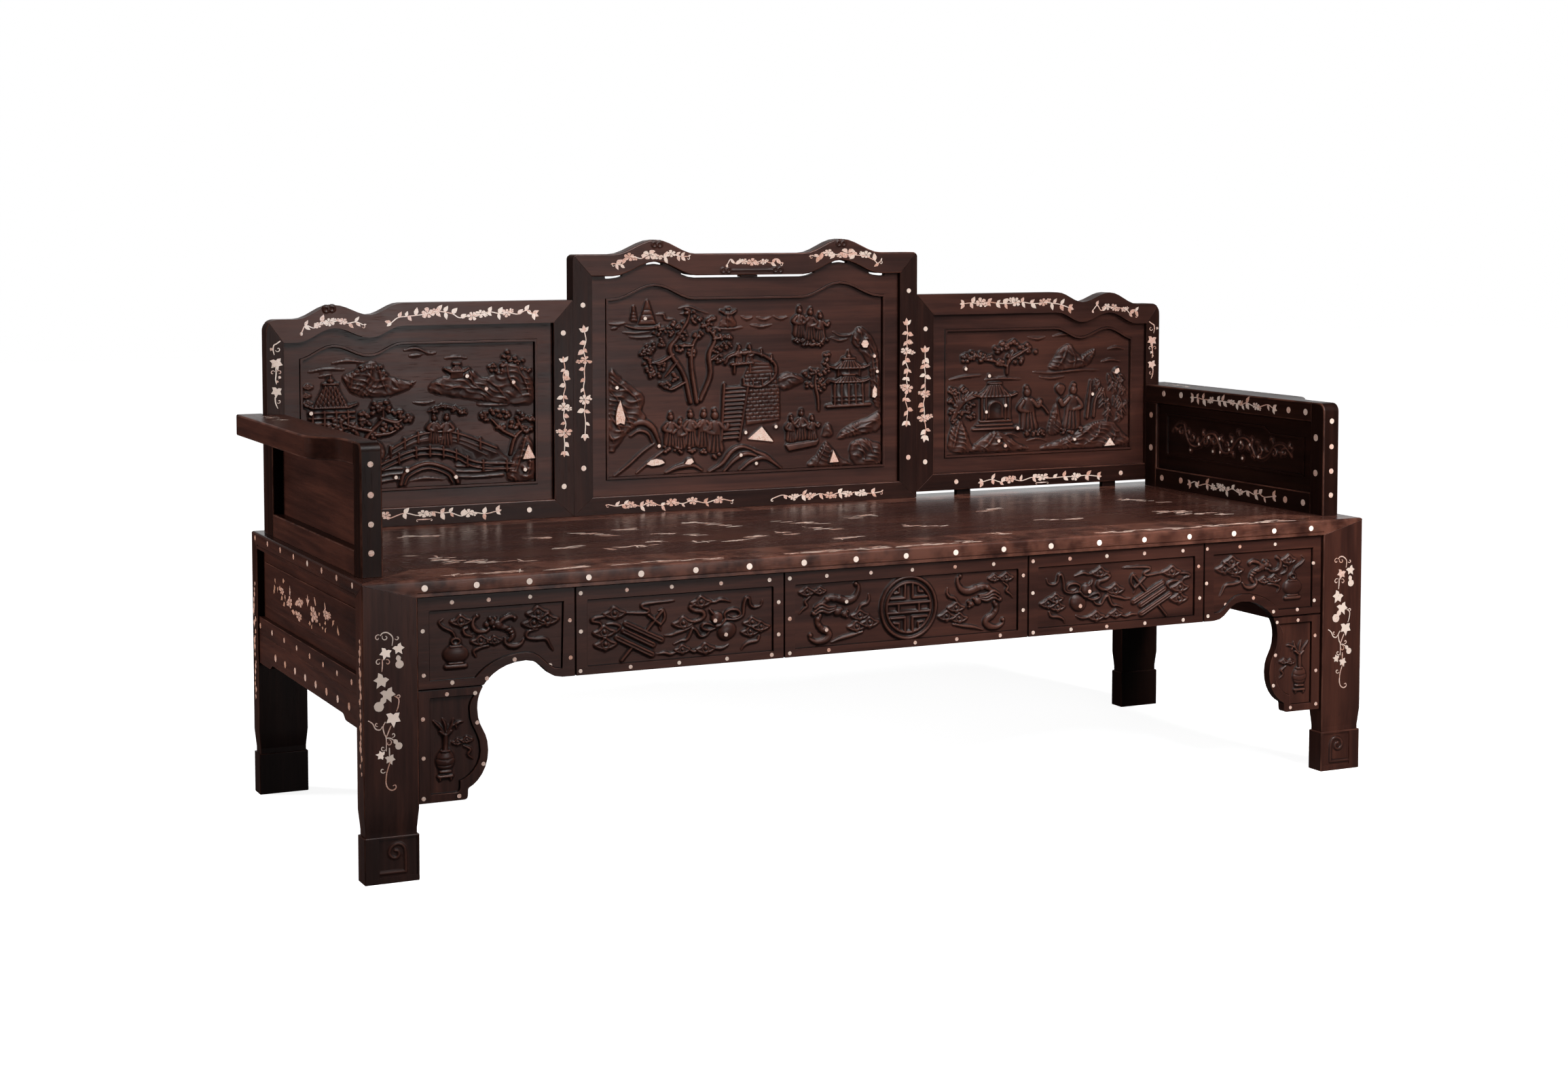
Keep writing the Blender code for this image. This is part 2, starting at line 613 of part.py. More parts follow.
def make_side(side, side_name, legs):
    run = LEG_REAR - CLEARANCE
    rail_low = SIDE_RAIL_TOP - SIDE_RAIL_HEIGHT

    def depth(setback):
        return side * (HALF_LENGTH - setback)

    rail_face = depth(SIDE_RAIL_SETBACK)
    rail_back = depth(SIDE_RAIL_SETBACK + SIDE_RAIL_THICKNESS)
    rail = box(f"side_rail_{side_name}", (rail_face, -run, rail_low), (rail_back, run, SIDE_RAIL_TOP))
    middle_x, middle_z = (rail_face + rail_back) / 2, SIDE_RAIL_TOP - SIDE_RAIL_HEIGHT / 2
    half_x, half_z = SIDE_TENON_THICKNESS / 2, SIDE_TENON_HEIGHT / 2

    def tenons(name, spare):
        reach = run + SIDE_TENON_LENGTH + spare
        low = (middle_x - half_x - spare, -reach, middle_z - half_z - spare)
        return box(name, low, (middle_x + half_x + spare, reach, middle_z + half_z + spare))

    fuse(rail, tenons(f"side_rail_{side_name}_tenons", 0))
    cut(legs, tenons(f"side_rail_{side_name}_mortises", CLEARANCE))
    finish(rail, ROSEWOOD)

    panel_face = depth(SIDE_PANEL_SETBACK)
    panel_back = depth(SIDE_PANEL_SETBACK + SIDE_PANEL_THICKNESS)
    low, high = SIDE_RAIL_TOP + CLEARANCE, RAIL_BOTTOM - CLEARANCE
    panel = box(f"side_panel_{side_name}", (panel_face, -run, low), (panel_back, run, high))
    raised = box(
        f"side_panel_{side_name}_raised",
        (panel_face + side * SIDE_PANEL_RISE, -run + SIDE_PANEL_MARGIN, low + SIDE_PANEL_MARGIN),
        ((panel_face + panel_back) / 2, run - SIDE_PANEL_MARGIN, high - SIDE_PANEL_MARGIN),
    )
    fuse(panel, raised)
    finish(panel, CARVED_ROSEWOOD)

    toe = run - SIDE_APRON_TOE
    bend = toe - SIDE_APRON_CURVE
    arch = SIDE_APRON_BOTTOM + SIDE_APRON_ARCH
    half = [(run, SIDE_APRON_BOTTOM), (toe, SIDE_APRON_BOTTOM)]
    half += ogee((toe, SIDE_APRON_BOTTOM), (bend, arch), 0)
    lower_edge = half + [(-across, up) for across, up in reversed(half)]
    outline = lower_edge + [(-run, rail_low - CLEARANCE), (run, rail_low - CLEARANCE)]
    apron = plate(f"side_apron_{side_name}", outline, rail_face, rail_back, "YZ")
    finish(apron, ROSEWOOD)


def make_rear_apron():
    run = LEG_INNER - CLEARANCE
    rear = HALF_DEPTH - APRON_SETBACK
    low = (-run, rear - APRON_THICKNESS, RAIL_BOTTOM - REAR_APRON_DROP)
    finish(box("rear_apron", low, (run, rear, APRON_TOP)), ROSEWOOD)


# Back


def panel_outline(opening, foot, stations, reach, top_reach):
    """A frame's opening, drawn larger by reach at its sides and foot and by top_reach at its top."""
    start, end = opening[0] - reach, opening[1] + reach
    low = foot + BACK_BOTTOM_RAIL - reach
    return [(start, low), (end, low)] + swing(stations, start, end, BACK_TOP_RAIL - top_reach)[::-1]


def make_back_frame(name, body, ends, opening, foot, stations, corners):
    """Two rails and two stiles, mitred, round a panel's groove. Returns them as a list."""
    left, right = ends
    left_top, right_top = stations[0][1], stations[-1][1]
    inner_left, inner_right = opening
    inner_low = foot + BACK_BOTTOM_RAIL
    left_centre = (left + corners[0], left_top - corners[0])
    right_centre = (right - corners[1], right_top - corners[1])
    lower_edge = swing(stations, inner_left, inner_right, BACK_TOP_RAIL)
    upper_edge = swing(stations, left_centre[0], right_centre[0], 0)
    top = arc(left_centre, corners[0], LEFT_MITRE, UPWARD)[:-1] + upper_edge
    top += arc(right_centre, corners[1], UPWARD, RIGHT_MITRE)[1:]
    pieces = [plate(name + "_top_rail", top + lower_edge[::-1], BACK_FRONT, BACK_REAR)]
    low = [(left, foot), (right, foot), (inner_right, inner_low), (inner_left, inner_low)]
    pieces.append(plate(name + "_bottom_rail", low, BACK_FRONT, BACK_REAR))

    def stile(piece, outer, inner, inner_top, corner):
        """The corner's arc runs from the outer edge up to the mitre."""
        corner = [(across, up - MITRE_GAP) for across, up in corner]
        foot_end = [(inner, inner_low + MITRE_GAP), (outer, foot + MITRE_GAP)]
        outline = corner + [(inner, inner_top - MITRE_GAP)] + foot_end
        return plate(name + piece, outline, BACK_FRONT, BACK_REAR)

    left_arc = arc(left_centre, corners[0], LEFTWARD, LEFT_MITRE)
    right_arc = arc(right_centre, corners[1], RIGHTWARD, RIGHT_MITRE)
    pieces.append(stile("_left_stile", left, inner_left, lower_edge[0][1], left_arc))
    pieces.append(stile("_right_stile", right, inner_right, lower_edge[-1][1], right_arc))
    groove_front = BACK_FRONT + PANEL_SETBACK - CLEARANCE
    groove_rear = BACK_FRONT + PANEL_SETBACK + PANEL_THICKNESS + CLEARANCE
    reach = PANEL_TONGUE + CLEARANCE
    outline = panel_outline(opening, foot, stations, reach, reach)
    cut(pieces, plate(name + "_groove", outline, groove_front, groove_rear))
    for piece in pieces:
        finish(piece, ROSEWOOD, body)
    return pieces


def make_back_panel(name, body, opening, foot, stations, top_margin):
    """The carved panel, with its tongue in the frame and a fine raised border round a sunk field."""
    front = BACK_FRONT + PANEL_SETBACK
    rear = front + PANEL_THICKNESS
    outline = panel_outline(opening, foot, stations, PANEL_TONGUE, PANEL_TONGUE)
    panel = plate(name + "_panel", outline, front, rear)
    border = panel_outline(opening, foot, stations, -PANEL_MARGIN, -top_margin)
    fuse(panel, plate(name + "_border", border, front - BORDER_RISE, (front + rear) / 2))
    inside = PANEL_MARGIN + BORDER_WIDTH
    field = panel_outline(opening, foot, stations, -inside, -top_margin - BORDER_WIDTH)
    cut([panel], plate(name + "_field", field, front - CUT_MARGIN, front + FIELD_DEPTH))
    finish(panel, CARVED_ROSEWOOD, body)
    return panel


def add_tenons(rail, places, foot, along, seat_rail):
    """Tenons under a frame's bottom rail, and their blind mortises in the seat."""
    half = {"X": (TENON_LENGTH / 2, TENON_THICKNESS / 2), "Y": (TENON_THICKNESS / 2, TENON_LENGTH / 2)}[along]
    low, high = SEAT_HEIGHT - TENON_IN_SEAT, foot + TENON_IN_FRAME
    for number, (x, y) in enumerate(places):
        corner = Vector((*half, 0))
        spare = Vector((1, 1, 1)) * CLEARANCE
        bottom, top = Vector((x, y, low)) - corner, Vector((x, y, high)) + corner
        fuse(rail, box(f"{rail.name}_tenon_{number}", bottom, top))
        cut([seat_rail], box(f"{rail.name}_mortise_{number}", bottom - spare, top + spare))


def centre_stations():
    half = BACK_CENTRE_WIDTH / 2
    peak = BACK_CENTRE_TOP + BACK_CENTRE_HUMP
    right = [
        (BACK_HUMP_INNER, BACK_CENTRE_TOP),
        (BACK_HUMP_CENTRE, peak),
        (BACK_HUMP_OUTER, BACK_CENTRE_TOP),
        (half, BACK_CENTRE_TOP),
    ]
    return mirrored(-1, right)[::-1] + right


def side_stations(side):
    """The side panel's top edge, from left to right, with its dips measured in from the bench's end."""
    inner = BACK_CENTRE_WIDTH / 2 + CLEARANCE
    right = [
        (inner, BACK_SIDE_TOP),
        (BACK_END - BACK_SIDE_LEVEL, BACK_SIDE_TOP),
        (BACK_END - BACK_SIDE_VALLEY, BACK_SIDE_TOP - BACK_SIDE_VALLEY_DROP),
        (BACK_END - BACK_SIDE_HUMP, BACK_SIDE_TOP - BACK_SIDE_HUMP_DROP),
        (BACK_END - BACK_SIDE_SHOULDER, BACK_SIDE_TOP - BACK_SIDE_SHOULDER_DROP),
        (BACK_END, BACK_SIDE_TOP - BACK_SIDE_SHOULDER_DROP),
    ]
    return right if side > 0 else mirrored(-1, right)[::-1]


def make_back(rear_rail):
    half = BACK_CENTRE_WIDTH / 2
    body = lifting_body("back_centre", (0, BACK_MIDDLE, SEAT_HEIGHT))
    stations = centre_stations()
    corners = (BACK_CENTRE_CORNER, BACK_CENTRE_CORNER)
    opening = (-half + BACK_STILE_WIDTH, half - BACK_STILE_WIDTH)
    frame = make_back_frame("back_centre", body, (-half, half), opening, FRAME_FOOT, stations, corners)
    panel = make_back_panel("back_centre", body, opening, FRAME_FOOT, stations, PANEL_CENTRE_TOP_MARGIN)
    open_slits(body, panel, stations)
    tenon_x = half - BACK_TENON_INSET
    places = [(-tenon_x, BACK_MIDDLE), (tenon_x, BACK_MIDDLE)]
    add_tenons(frame[1], places, FRAME_FOOT, "X", rear_rail)
    for side, name, rise in ((-1, "back_left", 0), (1, "back_right", BACK_RIGHT_RISE)):
        inner = half + CLEARANCE
        left, right = sorted((side * inner, side * BACK_END))
        foot = FRAME_FOOT + rise
        corners = (BACK_SIDE_CORNER, BACK_SEAM_CORNER) if side < 0 else (BACK_SEAM_CORNER, BACK_SIDE_CORNER)
        body = lifting_body(name, ((left + right) / 2, BACK_MIDDLE, SEAT_HEIGHT))
        stations = side_stations(side)
        opening = sorted((side * (inner + BACK_STILE_WIDTH), side * (BACK_END - BACK_OUTER_STILE_WIDTH)))
        frame = make_back_frame(name, body, (left, right), opening, foot, stations, corners)
        make_back_panel(name, body, opening, foot, stations, PANEL_MARGIN)
        places = [(left + BACK_TENON_INSET, BACK_MIDDLE), (right - BACK_TENON_INSET, BACK_MIDDLE)]
        add_tenons(frame[1], places, foot, "X", rear_rail)


def open_slits(body, panel, stations):
    """The centre panel has shrunk from the top rail: light shows over it, past a small block in the slit."""
    runs = [(-SLIT_HALF_LENGTH, SLIT_HALF_LENGTH)]
    for side in (-1, 1):
        peak = side * BACK_HUMP_CENTRE
        runs.append((peak - PEAK_SLIT_LENGTH / 2, peak + PEAK_SLIT_LENGTH / 2))
        runs.append(sorted((side * OUTER_SLIT_START, side * (OUTER_SLIT_START + OUTER_SLIT_LENGTH))))
    for number, (start, end) in enumerate(runs):
        edge = swing(stations, start, end, BACK_TOP_RAIL + SLIT_HEIGHT)
        outline = edge + swing(stations, start, end, 0)[::-1]
        front, rear = BACK_FRONT - CUT_MARGIN, BACK_REAR + CUT_MARGIN
        cut([panel], plate(f"back_centre_slit_{number}", outline, front, rear))
    opening_top = BACK_CENTRE_TOP - BACK_TOP_RAIL
    middle = BACK_FRONT + PANEL_SETBACK + PANEL_THICKNESS / 2
    low = (-SPACER_LENGTH / 2, middle - SPACER_DEPTH / 2, opening_top - SLIT_HEIGHT + CLEARANCE)
    high = (SPACER_LENGTH / 2, middle + SPACER_DEPTH / 2, opening_top - CLEARANCE)
    finish(box("back_centre_spacer", low, high), ROSEWOOD, body)


# Arms


def armrest_outline():
    """The armrest in plan at positive X: straight inside, with a wing outside that ends in an ogee."""
    front = ARM_FRONT + ARM_FRONT_POST + CLEARANCE
    wing = ARM_OUTER + ARM_WING
    wing_front = ARM_FRONT + ARM_WING_FRONT
    rear = BACK_FRONT + ARM_WING_REAR
    notch = BACK_END + CLEARANCE
    ogee_end = (ARM_OUTER, wing_front - ARM_OGEE_LENGTH)
    outline = [(ARM_INNER, front), (ARM_INNER, ARM_REAR), (notch, ARM_REAR), (notch, rear), (wing, rear)]
    outline += [(wing, wing_front)] + ogee((wing, wing_front), ogee_end, 1)
    return outline + [(ARM_OUTER, front)]


def make_arm(side, side_name, seat_rail):
    name = f"arm_{side_name}"
    body = lifting_body(name, (side * ARM_MIDDLE, (ARM_FRONT + ARM_REAR) / 2, SEAT_HEIGHT))
    inner, outer = side * ARM_INNER, side * ARM_OUTER
    post_rear = ARM_FRONT + ARM_FRONT_POST
    rear_post_front = ARM_REAR - ARM_REAR_POST
    rail_low = ARM_TOP - ARM_TOP_RAIL
    corner = arc((ARM_FRONT + ARM_CORNER, ARM_TOP - ARM_CORNER), ARM_CORNER, LEFTWARD, UPWARD)
    post_outline = [(post_rear, FRAME_FOOT), (ARM_FRONT, FRAME_FOOT)] + corner + [(post_rear, ARM_TOP)]
    front_post = plate(name + "_front_post", post_outline, inner, outer, "YZ")
    rear_low, rear_high = (inner, rear_post_front, FRAME_FOOT), (outer, ARM_REAR, rail_low - CLEARANCE)
    rear_post = box(name + "_rear_post", rear_low, rear_high)
    armrest = plate(name + "_armrest", mirrored(side, armrest_outline()), rail_low, ARM_TOP, "XY")
    bottom_top = FRAME_FOOT + ARM_BOTTOM_RAIL
    bottom_low = (inner, post_rear + CLEARANCE, FRAME_FOOT)
    bottom_rail = box(name + "_bottom_rail", bottom_low, (outer, rear_post_front - CLEARANCE, bottom_top))
    frame = [front_post, rear_post, armrest, bottom_rail]
    make_arm_panel(name, body, side, frame, (post_rear, rear_post_front), (bottom_top, rail_low))
    for piece in frame:
        finish(piece, ROSEWOOD, body)
    places = [
        (side * ARM_MIDDLE, ARM_FRONT + ARM_TENON_INSET),
        (side * ARM_MIDDLE, ARM_REAR - ARM_TENON_INSET),
    ]
    add_tenons(bottom_rail, places, FRAME_FOOT, "Y", seat_rail)


def make_arm_panel(name, body, side, frame, run, rise):
    """The arm's panel in its frame, with a fine border on the inner face that steps down near the front."""
    face = side * (ARM_INNER + ARM_PANEL_SETBACK)
    back = face + side * ARM_PANEL_THICKNESS

    def rectangle(reach):
        low, high = (run[0] - reach, rise[0] - reach), (run[1] + reach, rise[1] + reach)
        return [low, (high[0], low[1]), high, (low[0], high[1])]

    def stepped(margin):
        low = (run[0] + ARM_PANEL_MARGIN + margin, rise[0] + ARM_PANEL_MARGIN + margin)
        high = (run[1] - ARM_PANEL_MARGIN - margin, rise[1] - ARM_PANEL_TOP_MARGIN - margin)
        step = low[0] + ARM_PANEL_STEP_PLACE
        lower = high[1] - ARM_PANEL_STEP
        edge = [(step, lower)] + ogee((step, lower), (step + ARM_PANEL_STEP_LENGTH, high[1]), 0)
        return [low, (high[0], low[1]), high] + edge[::-1] + [(low[0], lower)]

    panel = plate(name + "_panel", rectangle(PANEL_TONGUE), *sorted((face, back)), "YZ")
    groove_face, groove_back = face - side * CLEARANCE, back + side * CLEARANCE
    groove = rectangle(PANEL_TONGUE + CLEARANCE)
    cut(frame, plate(name + "_groove", groove, *sorted((groove_face, groove_back)), "YZ"))
    border_face = face - side * BORDER_RISE
    fuse(panel, plate(name + "_border", stepped(0), *sorted((border_face, (face + back) / 2)), "YZ"))
    field_floor, outside = face + side * FIELD_DEPTH / 2, face - side * CUT_MARGIN
    cut([panel], plate(name + "_field", stepped(BORDER_WIDTH), *sorted((field_floor, outside)), "YZ"))
    return finish(panel, CARVED_ROSEWOOD, body)


def build():
    rails = make_seat()
    legs = {}
    for side, side_name in ((-1, "left"), (1, "right")):
        for end, end_name in ((-1, "front"), (1, "rear")):
            legs[side, end] = make_leg(f"leg_{end_name}_{side_name}", side, end)
        make_side(side, side_name, [legs[side, -1], legs[side, 1]])
        make_arm(side, side_name, rails[side_name])
    make_front_apron()
    make_rear_apron()
    make_back(rails["rear"])
    bpy.context.view_layer.update()


build()
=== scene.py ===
"""Dress for the inlaid rosewood bench: eased joinery, carving, shell inlay, finishes and a stage."""

import json
import math

import bmesh
import bpy
import numpy as np
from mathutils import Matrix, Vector
from mathutils.bvhtree import BVHTree

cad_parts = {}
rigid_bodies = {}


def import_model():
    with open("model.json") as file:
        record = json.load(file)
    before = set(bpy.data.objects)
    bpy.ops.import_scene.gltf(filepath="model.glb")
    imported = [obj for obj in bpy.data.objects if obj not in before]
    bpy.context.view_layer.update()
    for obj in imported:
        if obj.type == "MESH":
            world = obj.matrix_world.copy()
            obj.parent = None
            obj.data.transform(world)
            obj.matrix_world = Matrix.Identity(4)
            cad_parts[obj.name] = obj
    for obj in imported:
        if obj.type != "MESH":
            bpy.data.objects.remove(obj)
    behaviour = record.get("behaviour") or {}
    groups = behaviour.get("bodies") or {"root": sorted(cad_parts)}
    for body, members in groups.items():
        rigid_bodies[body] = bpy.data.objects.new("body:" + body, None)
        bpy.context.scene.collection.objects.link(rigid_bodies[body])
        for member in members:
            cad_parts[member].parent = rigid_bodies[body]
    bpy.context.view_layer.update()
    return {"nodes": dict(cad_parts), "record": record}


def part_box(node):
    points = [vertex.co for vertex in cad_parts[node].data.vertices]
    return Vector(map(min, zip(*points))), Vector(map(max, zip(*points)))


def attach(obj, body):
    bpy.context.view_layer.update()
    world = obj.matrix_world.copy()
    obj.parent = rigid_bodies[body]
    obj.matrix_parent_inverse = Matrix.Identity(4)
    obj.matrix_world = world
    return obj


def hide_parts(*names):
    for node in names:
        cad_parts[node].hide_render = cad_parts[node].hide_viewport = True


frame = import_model()

bl_info = {
    "name": "Inlaid Rosewood Bench",
    "version": (1, 0, 0),
    "blender": (4, 5, 0),
    "location": "3D View > Sidebar > Bench",
    "description": "Dresses the bench's solids with carving, mother-of-pearl inlay and finishes",
    "category": "Object",
}

MM = 0.001
X, Y, Z = Vector((1, 0, 0)), Vector((0, 1, 0)), Vector((0, 0, 1))
BODY_OF = {node: body for body, nodes in frame["record"]["behaviour"]["bodies"].items() for node in nodes}
ROSEWOOD, PEARL = "rosewood", "pearl"

# Faces that carry the dress, read from the solids
LEG_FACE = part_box("leg_front_left")[0].y
LEG_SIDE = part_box("leg_front_left")[0].x
SEAT_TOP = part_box("seat_board")[1].z
APRON_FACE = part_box("apron_centre")[0].y
BACK_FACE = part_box("back_centre_top_rail")[0].y
ARM_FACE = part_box("arm_left_bottom_rail")[1].x
SIDE_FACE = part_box("side_panel_left")[0].x
# How far the carved fields lie behind those faces
APRON_FIELD, BACK_FIELD, ARM_FIELD, FOOT_FIELD = 0.004, 0.014, 0.010, 0.0015


class WoodSettings(bpy.types.PropertyGroup):
    """Colours, gloss and edges of the rosewood."""

    dark: bpy.props.FloatVectorProperty(
        name="Dark grain", description="Colour of the darkest grain", subtype="COLOR", size=3, min=0, max=1,
        default=(0.0100, 0.0038, 0.0030))
    # Painted shade: this colour darkens the carving's hollows and the legs near the floor
    hollow: bpy.props.FloatVectorProperty(
        name="Hollow", description="Colour of the grime in the carving's hollows", subtype="COLOR", size=3,
        min=0, max=1, default=(0.0060, 0.0026, 0.0022))
    body: bpy.props.FloatVectorProperty(
        name="Body", description="Colour of most of the wood", subtype="COLOR", size=3, min=0, max=1,
        default=(0.0262, 0.0090, 0.0064))
    light: bpy.props.FloatVectorProperty(
        name="Light grain", description="Colour of the lightest grain", subtype="COLOR", size=3, min=0,
        max=1, default=(0.0560, 0.0185, 0.0118))
    worn: bpy.props.FloatVectorProperty(
        name="Worn edge", description="Colour where hands have rubbed the edges", subtype="COLOR", size=3,
        min=0, max=1, default=(0.0950, 0.0360, 0.0240))
    roughness: bpy.props.FloatProperty(
        name="Roughness", description="Roughness of the frames, legs and aprons", subtype="FACTOR", min=0,
        max=1, default=0.36)
    seat_roughness: bpy.props.FloatProperty(
        name="Seat roughness", description="Roughness of the polished seat", subtype="FACTOR", min=0, max=1,
        default=0.27)
    edge_width: bpy.props.FloatProperty(
        name="Edge rounding", description="Width of a rounded edge", unit="LENGTH", min=0, default=0.0016)
    edge_steps: bpy.props.IntProperty(
        name="Edge steps", description="Faces across a rounded edge", min=1, max=6, default=3)
    # Painted shade: the inner corners get a dark strip this wide
    crevice: bpy.props.FloatProperty(
        name="Crevice", description="Width of the painted shade in the inner corners", unit="LENGTH", min=0,
        default=0.0012)
    joint_width: bpy.props.FloatProperty(
        name="Joint line", description="Width of the bevel along a joint", unit="LENGTH", min=0,
        default=0.0004)


class CarvingSettings(bpy.types.PropertyGroup):
    """Fineness of the carving."""

    back_pitch: bpy.props.FloatProperty(
        name="Back pitch", description="Grid of the back's carving", unit="LENGTH", min=0.0005,
        default=0.0012)
    apron_pitch: bpy.props.FloatProperty(
        name="Apron pitch", description="Grid of the aprons' carving", unit="LENGTH", min=0.0005,
        default=0.0009)
    kept: bpy.props.FloatProperty(
        name="Kept faces", description="Share of the grid's faces that are kept", subtype="FACTOR",
        min=0.05, max=1, default=0.28)


class PearlSettings(bpy.types.PropertyGroup):
    """Colours and sizes of the mother-of-pearl."""

    white: bpy.props.FloatVectorProperty(
        name="White", description="Colour of the pale shell", subtype="COLOR", size=3, min=0, max=1,
        default=(0.52, 0.42, 0.36))
    bright: bpy.props.FloatVectorProperty(
        name="Bright", description="Colour of the palest shell", subtype="COLOR", size=3, min=0, max=1,
        default=(0.86, 0.71, 0.62))
    rose: bpy.props.FloatVectorProperty(
        name="Rose", description="Colour of the pink shell", subtype="COLOR", size=3, min=0, max=1,
        default=(0.48, 0.28, 0.23))
    amber: bpy.props.FloatVectorProperty(
        name="Amber", description="Colour of the aged shell", subtype="COLOR", size=3, min=0, max=1,
        default=(0.31, 0.15, 0.085))
    lift: bpy.props.FloatProperty(
        name="Lift", description="How far the shell stands proud", unit="LENGTH", min=0, default=0.00012)
    depth: bpy.props.FloatProperty(
        name="Depth", description="How deep the shell is let in", unit="LENGTH", min=0, default=0.0006)
    seat_dot: bpy.props.FloatProperty(
        name="Seat dot", description="Dots along the seat's edge", unit="LENGTH", min=0, default=0.0108)
    apron_dot: bpy.props.FloatProperty(
        name="Apron dot", description="Dots round the apron boards", unit="LENGTH", min=0, default=0.0072)
    frame_dot: bpy.props.FloatProperty(
        name="Frame dot", description="Dots on the back and arm frames", unit="LENGTH", min=0,
        default=0.0104)
    side_dot: bpy.props.FloatProperty(
        name="Side dot", description="Dots on the lower side aprons", unit="LENGTH", min=0, default=0.0135)
    small_dot: bpy.props.FloatProperty(
        name="Small dot", description="Dots among the carving", unit="LENGTH", min=0, default=0.0072)


class StageSettings(bpy.types.PropertyGroup):
    """Floor, light and camera."""

    floor: bpy.props.FloatVectorProperty(
        name="Floor", description="Colour of the floor", subtype="COLOR", size=3, min=0, max=1,
        default=(0.80, 0.80, 0.80))
    bounce: bpy.props.FloatVectorProperty(
        name="Bounce", description="Colour that the floor throws back on the bench", subtype="COLOR",
        size=3, min=0, max=1, default=(0.10, 0.10, 0.10))
    floor_glow: bpy.props.FloatProperty(
        name="Floor glow", description="Brightness of the floor in its shadows", subtype="FACTOR", min=0,
        max=1, default=0.87)
    backdrop: bpy.props.FloatProperty(
        name="Backdrop", description="Brightness behind the bench", min=0, default=1.0)
    room: bpy.props.FloatProperty(
        name="Room", description="Brightness of the rest of the room", min=0, default=0.07)
    key_power: bpy.props.FloatProperty(
        name="Key light", description="Power of the large light above", unit="POWER", min=0, default=25)
    right_power: bpy.props.FloatProperty(
        name="Right light", description="Power of the light to the right in front", unit="POWER", min=0,
        default=11)
    left_power: bpy.props.FloatProperty(
        name="Left light", description="Power of the light beyond the left arm", unit="POWER", min=0,
        default=12.5)
    arm_power: bpy.props.FloatProperty(
        name="Arm light", description="Power of the narrow light on the right arm", unit="POWER", min=0,
        default=0.5)
    sheen_power: bpy.props.FloatProperty(
        name="Sheen light", description="Power of the low panel in front", unit="POWER", min=0, default=15)
    lens: bpy.props.FloatProperty(
        name="Lens", description="Focal length of the camera", unit="CAMERA", min=1, default=56.87)


# Finishes


class Wire:
    """A shader socket that takes part in sums, where each operator adds a Math node."""

    def __init__(self, nodes, socket):
        self.nodes, self.socket = nodes, socket

    def math(self, operation, first, second):
        return self.nodes.node("ShaderNodeMath", {"operation": operation}, {0: first, 1: second})

    def __add__(self, other):
        return self.math("ADD", self, other)

    def __radd__(self, other):
        return self.math("ADD", other, self)

    def __sub__(self, other):
        return self.math("SUBTRACT", self, other)

    def __rsub__(self, other):
        return self.math("SUBTRACT", other, self)

    def __mul__(self, other):
        return self.math("MULTIPLY", self, other)

    def __rmul__(self, other):
        return self.math("MULTIPLY", other, self)


class Nodes:
    """A shader tree to which nodes are added."""

    def __init__(self, tree):
        self.tree = tree

    def node(self, kind, settings=None, sockets=None, output=0):
        made = self.tree.nodes.new(kind)
        for name, value in (settings or {}).items():
            if name == "stops":
                while len(made.color_ramp.elements) < len(value):
                    made.color_ramp.elements.new(1.0)
                for element, (place, colour) in zip(made.color_ramp.elements, value):
                    element.position, element.color = place, colour
            else:
                setattr(made, name, value)
        self.feed(made, sockets or {})
        return Wire(self, made.outputs[output])

    def feed(self, node, sockets):
        for name, value in sockets.items():
            if isinstance(value, Wire):
                self.tree.links.new(value.socket, node.inputs[name])
            else:
                node.inputs[name].default_value = value

    def blend(self, share, first, second):
        settings = {"data_type": "RGBA", "blend_type": "MIX", "clamp_factor": True}
        return self.node("ShaderNodeMix", settings, {0: share, 6: first, 7: second}, 2)

    def between(self, value, low, high):
        """0 where the value is under low, 1 where it is over high, smooth between."""
        settings = {"interpolation_type": "SMOOTHSTEP"}
        return self.node("ShaderNodeMapRange", settings,
                         {"Value": value, "From Min": low, "From Max": high})


class Finish(Nodes):
    """A material that is being made, on the coordinates of its object."""

    def __init__(self, name):
        self.material = bpy.data.materials.new(name)
        self.material.use_nodes = True
        super().__init__(self.material.node_tree)
        self.surface = self.tree.nodes["Principled BSDF"]
        self.place = self.node("ShaderNodeTexCoord", output="Object")

    def noise(self, scale, stretch=(1, 1, 1), detail=2.0, roughness=0.5, distortion=0.0):
        mapped = self.node("ShaderNodeMapping", None, {"Vector": self.place, "Scale": stretch})
        sockets = {"Vector": mapped, "Scale": scale, "Detail": detail, "Roughness": roughness}
        return self.node("ShaderNodeTexNoise", None, {**sockets, "Distortion": distortion})

    def attribute(self, name):
        return self.node("ShaderNodeAttribute", {"attribute_name": name}, None, "Fac")

    def relief(self, height, strength, distance):
        sockets = {"Height": height, "Strength": strength, "Distance": distance}
        self.feed(self.surface, {"Normal": self.node("ShaderNodeBump", None, sockets)})


BLACK, WHITE = (0, 0, 0, 1), (1, 1, 1, 1)


def opaque(colour):
    return (*colour, 1.0)


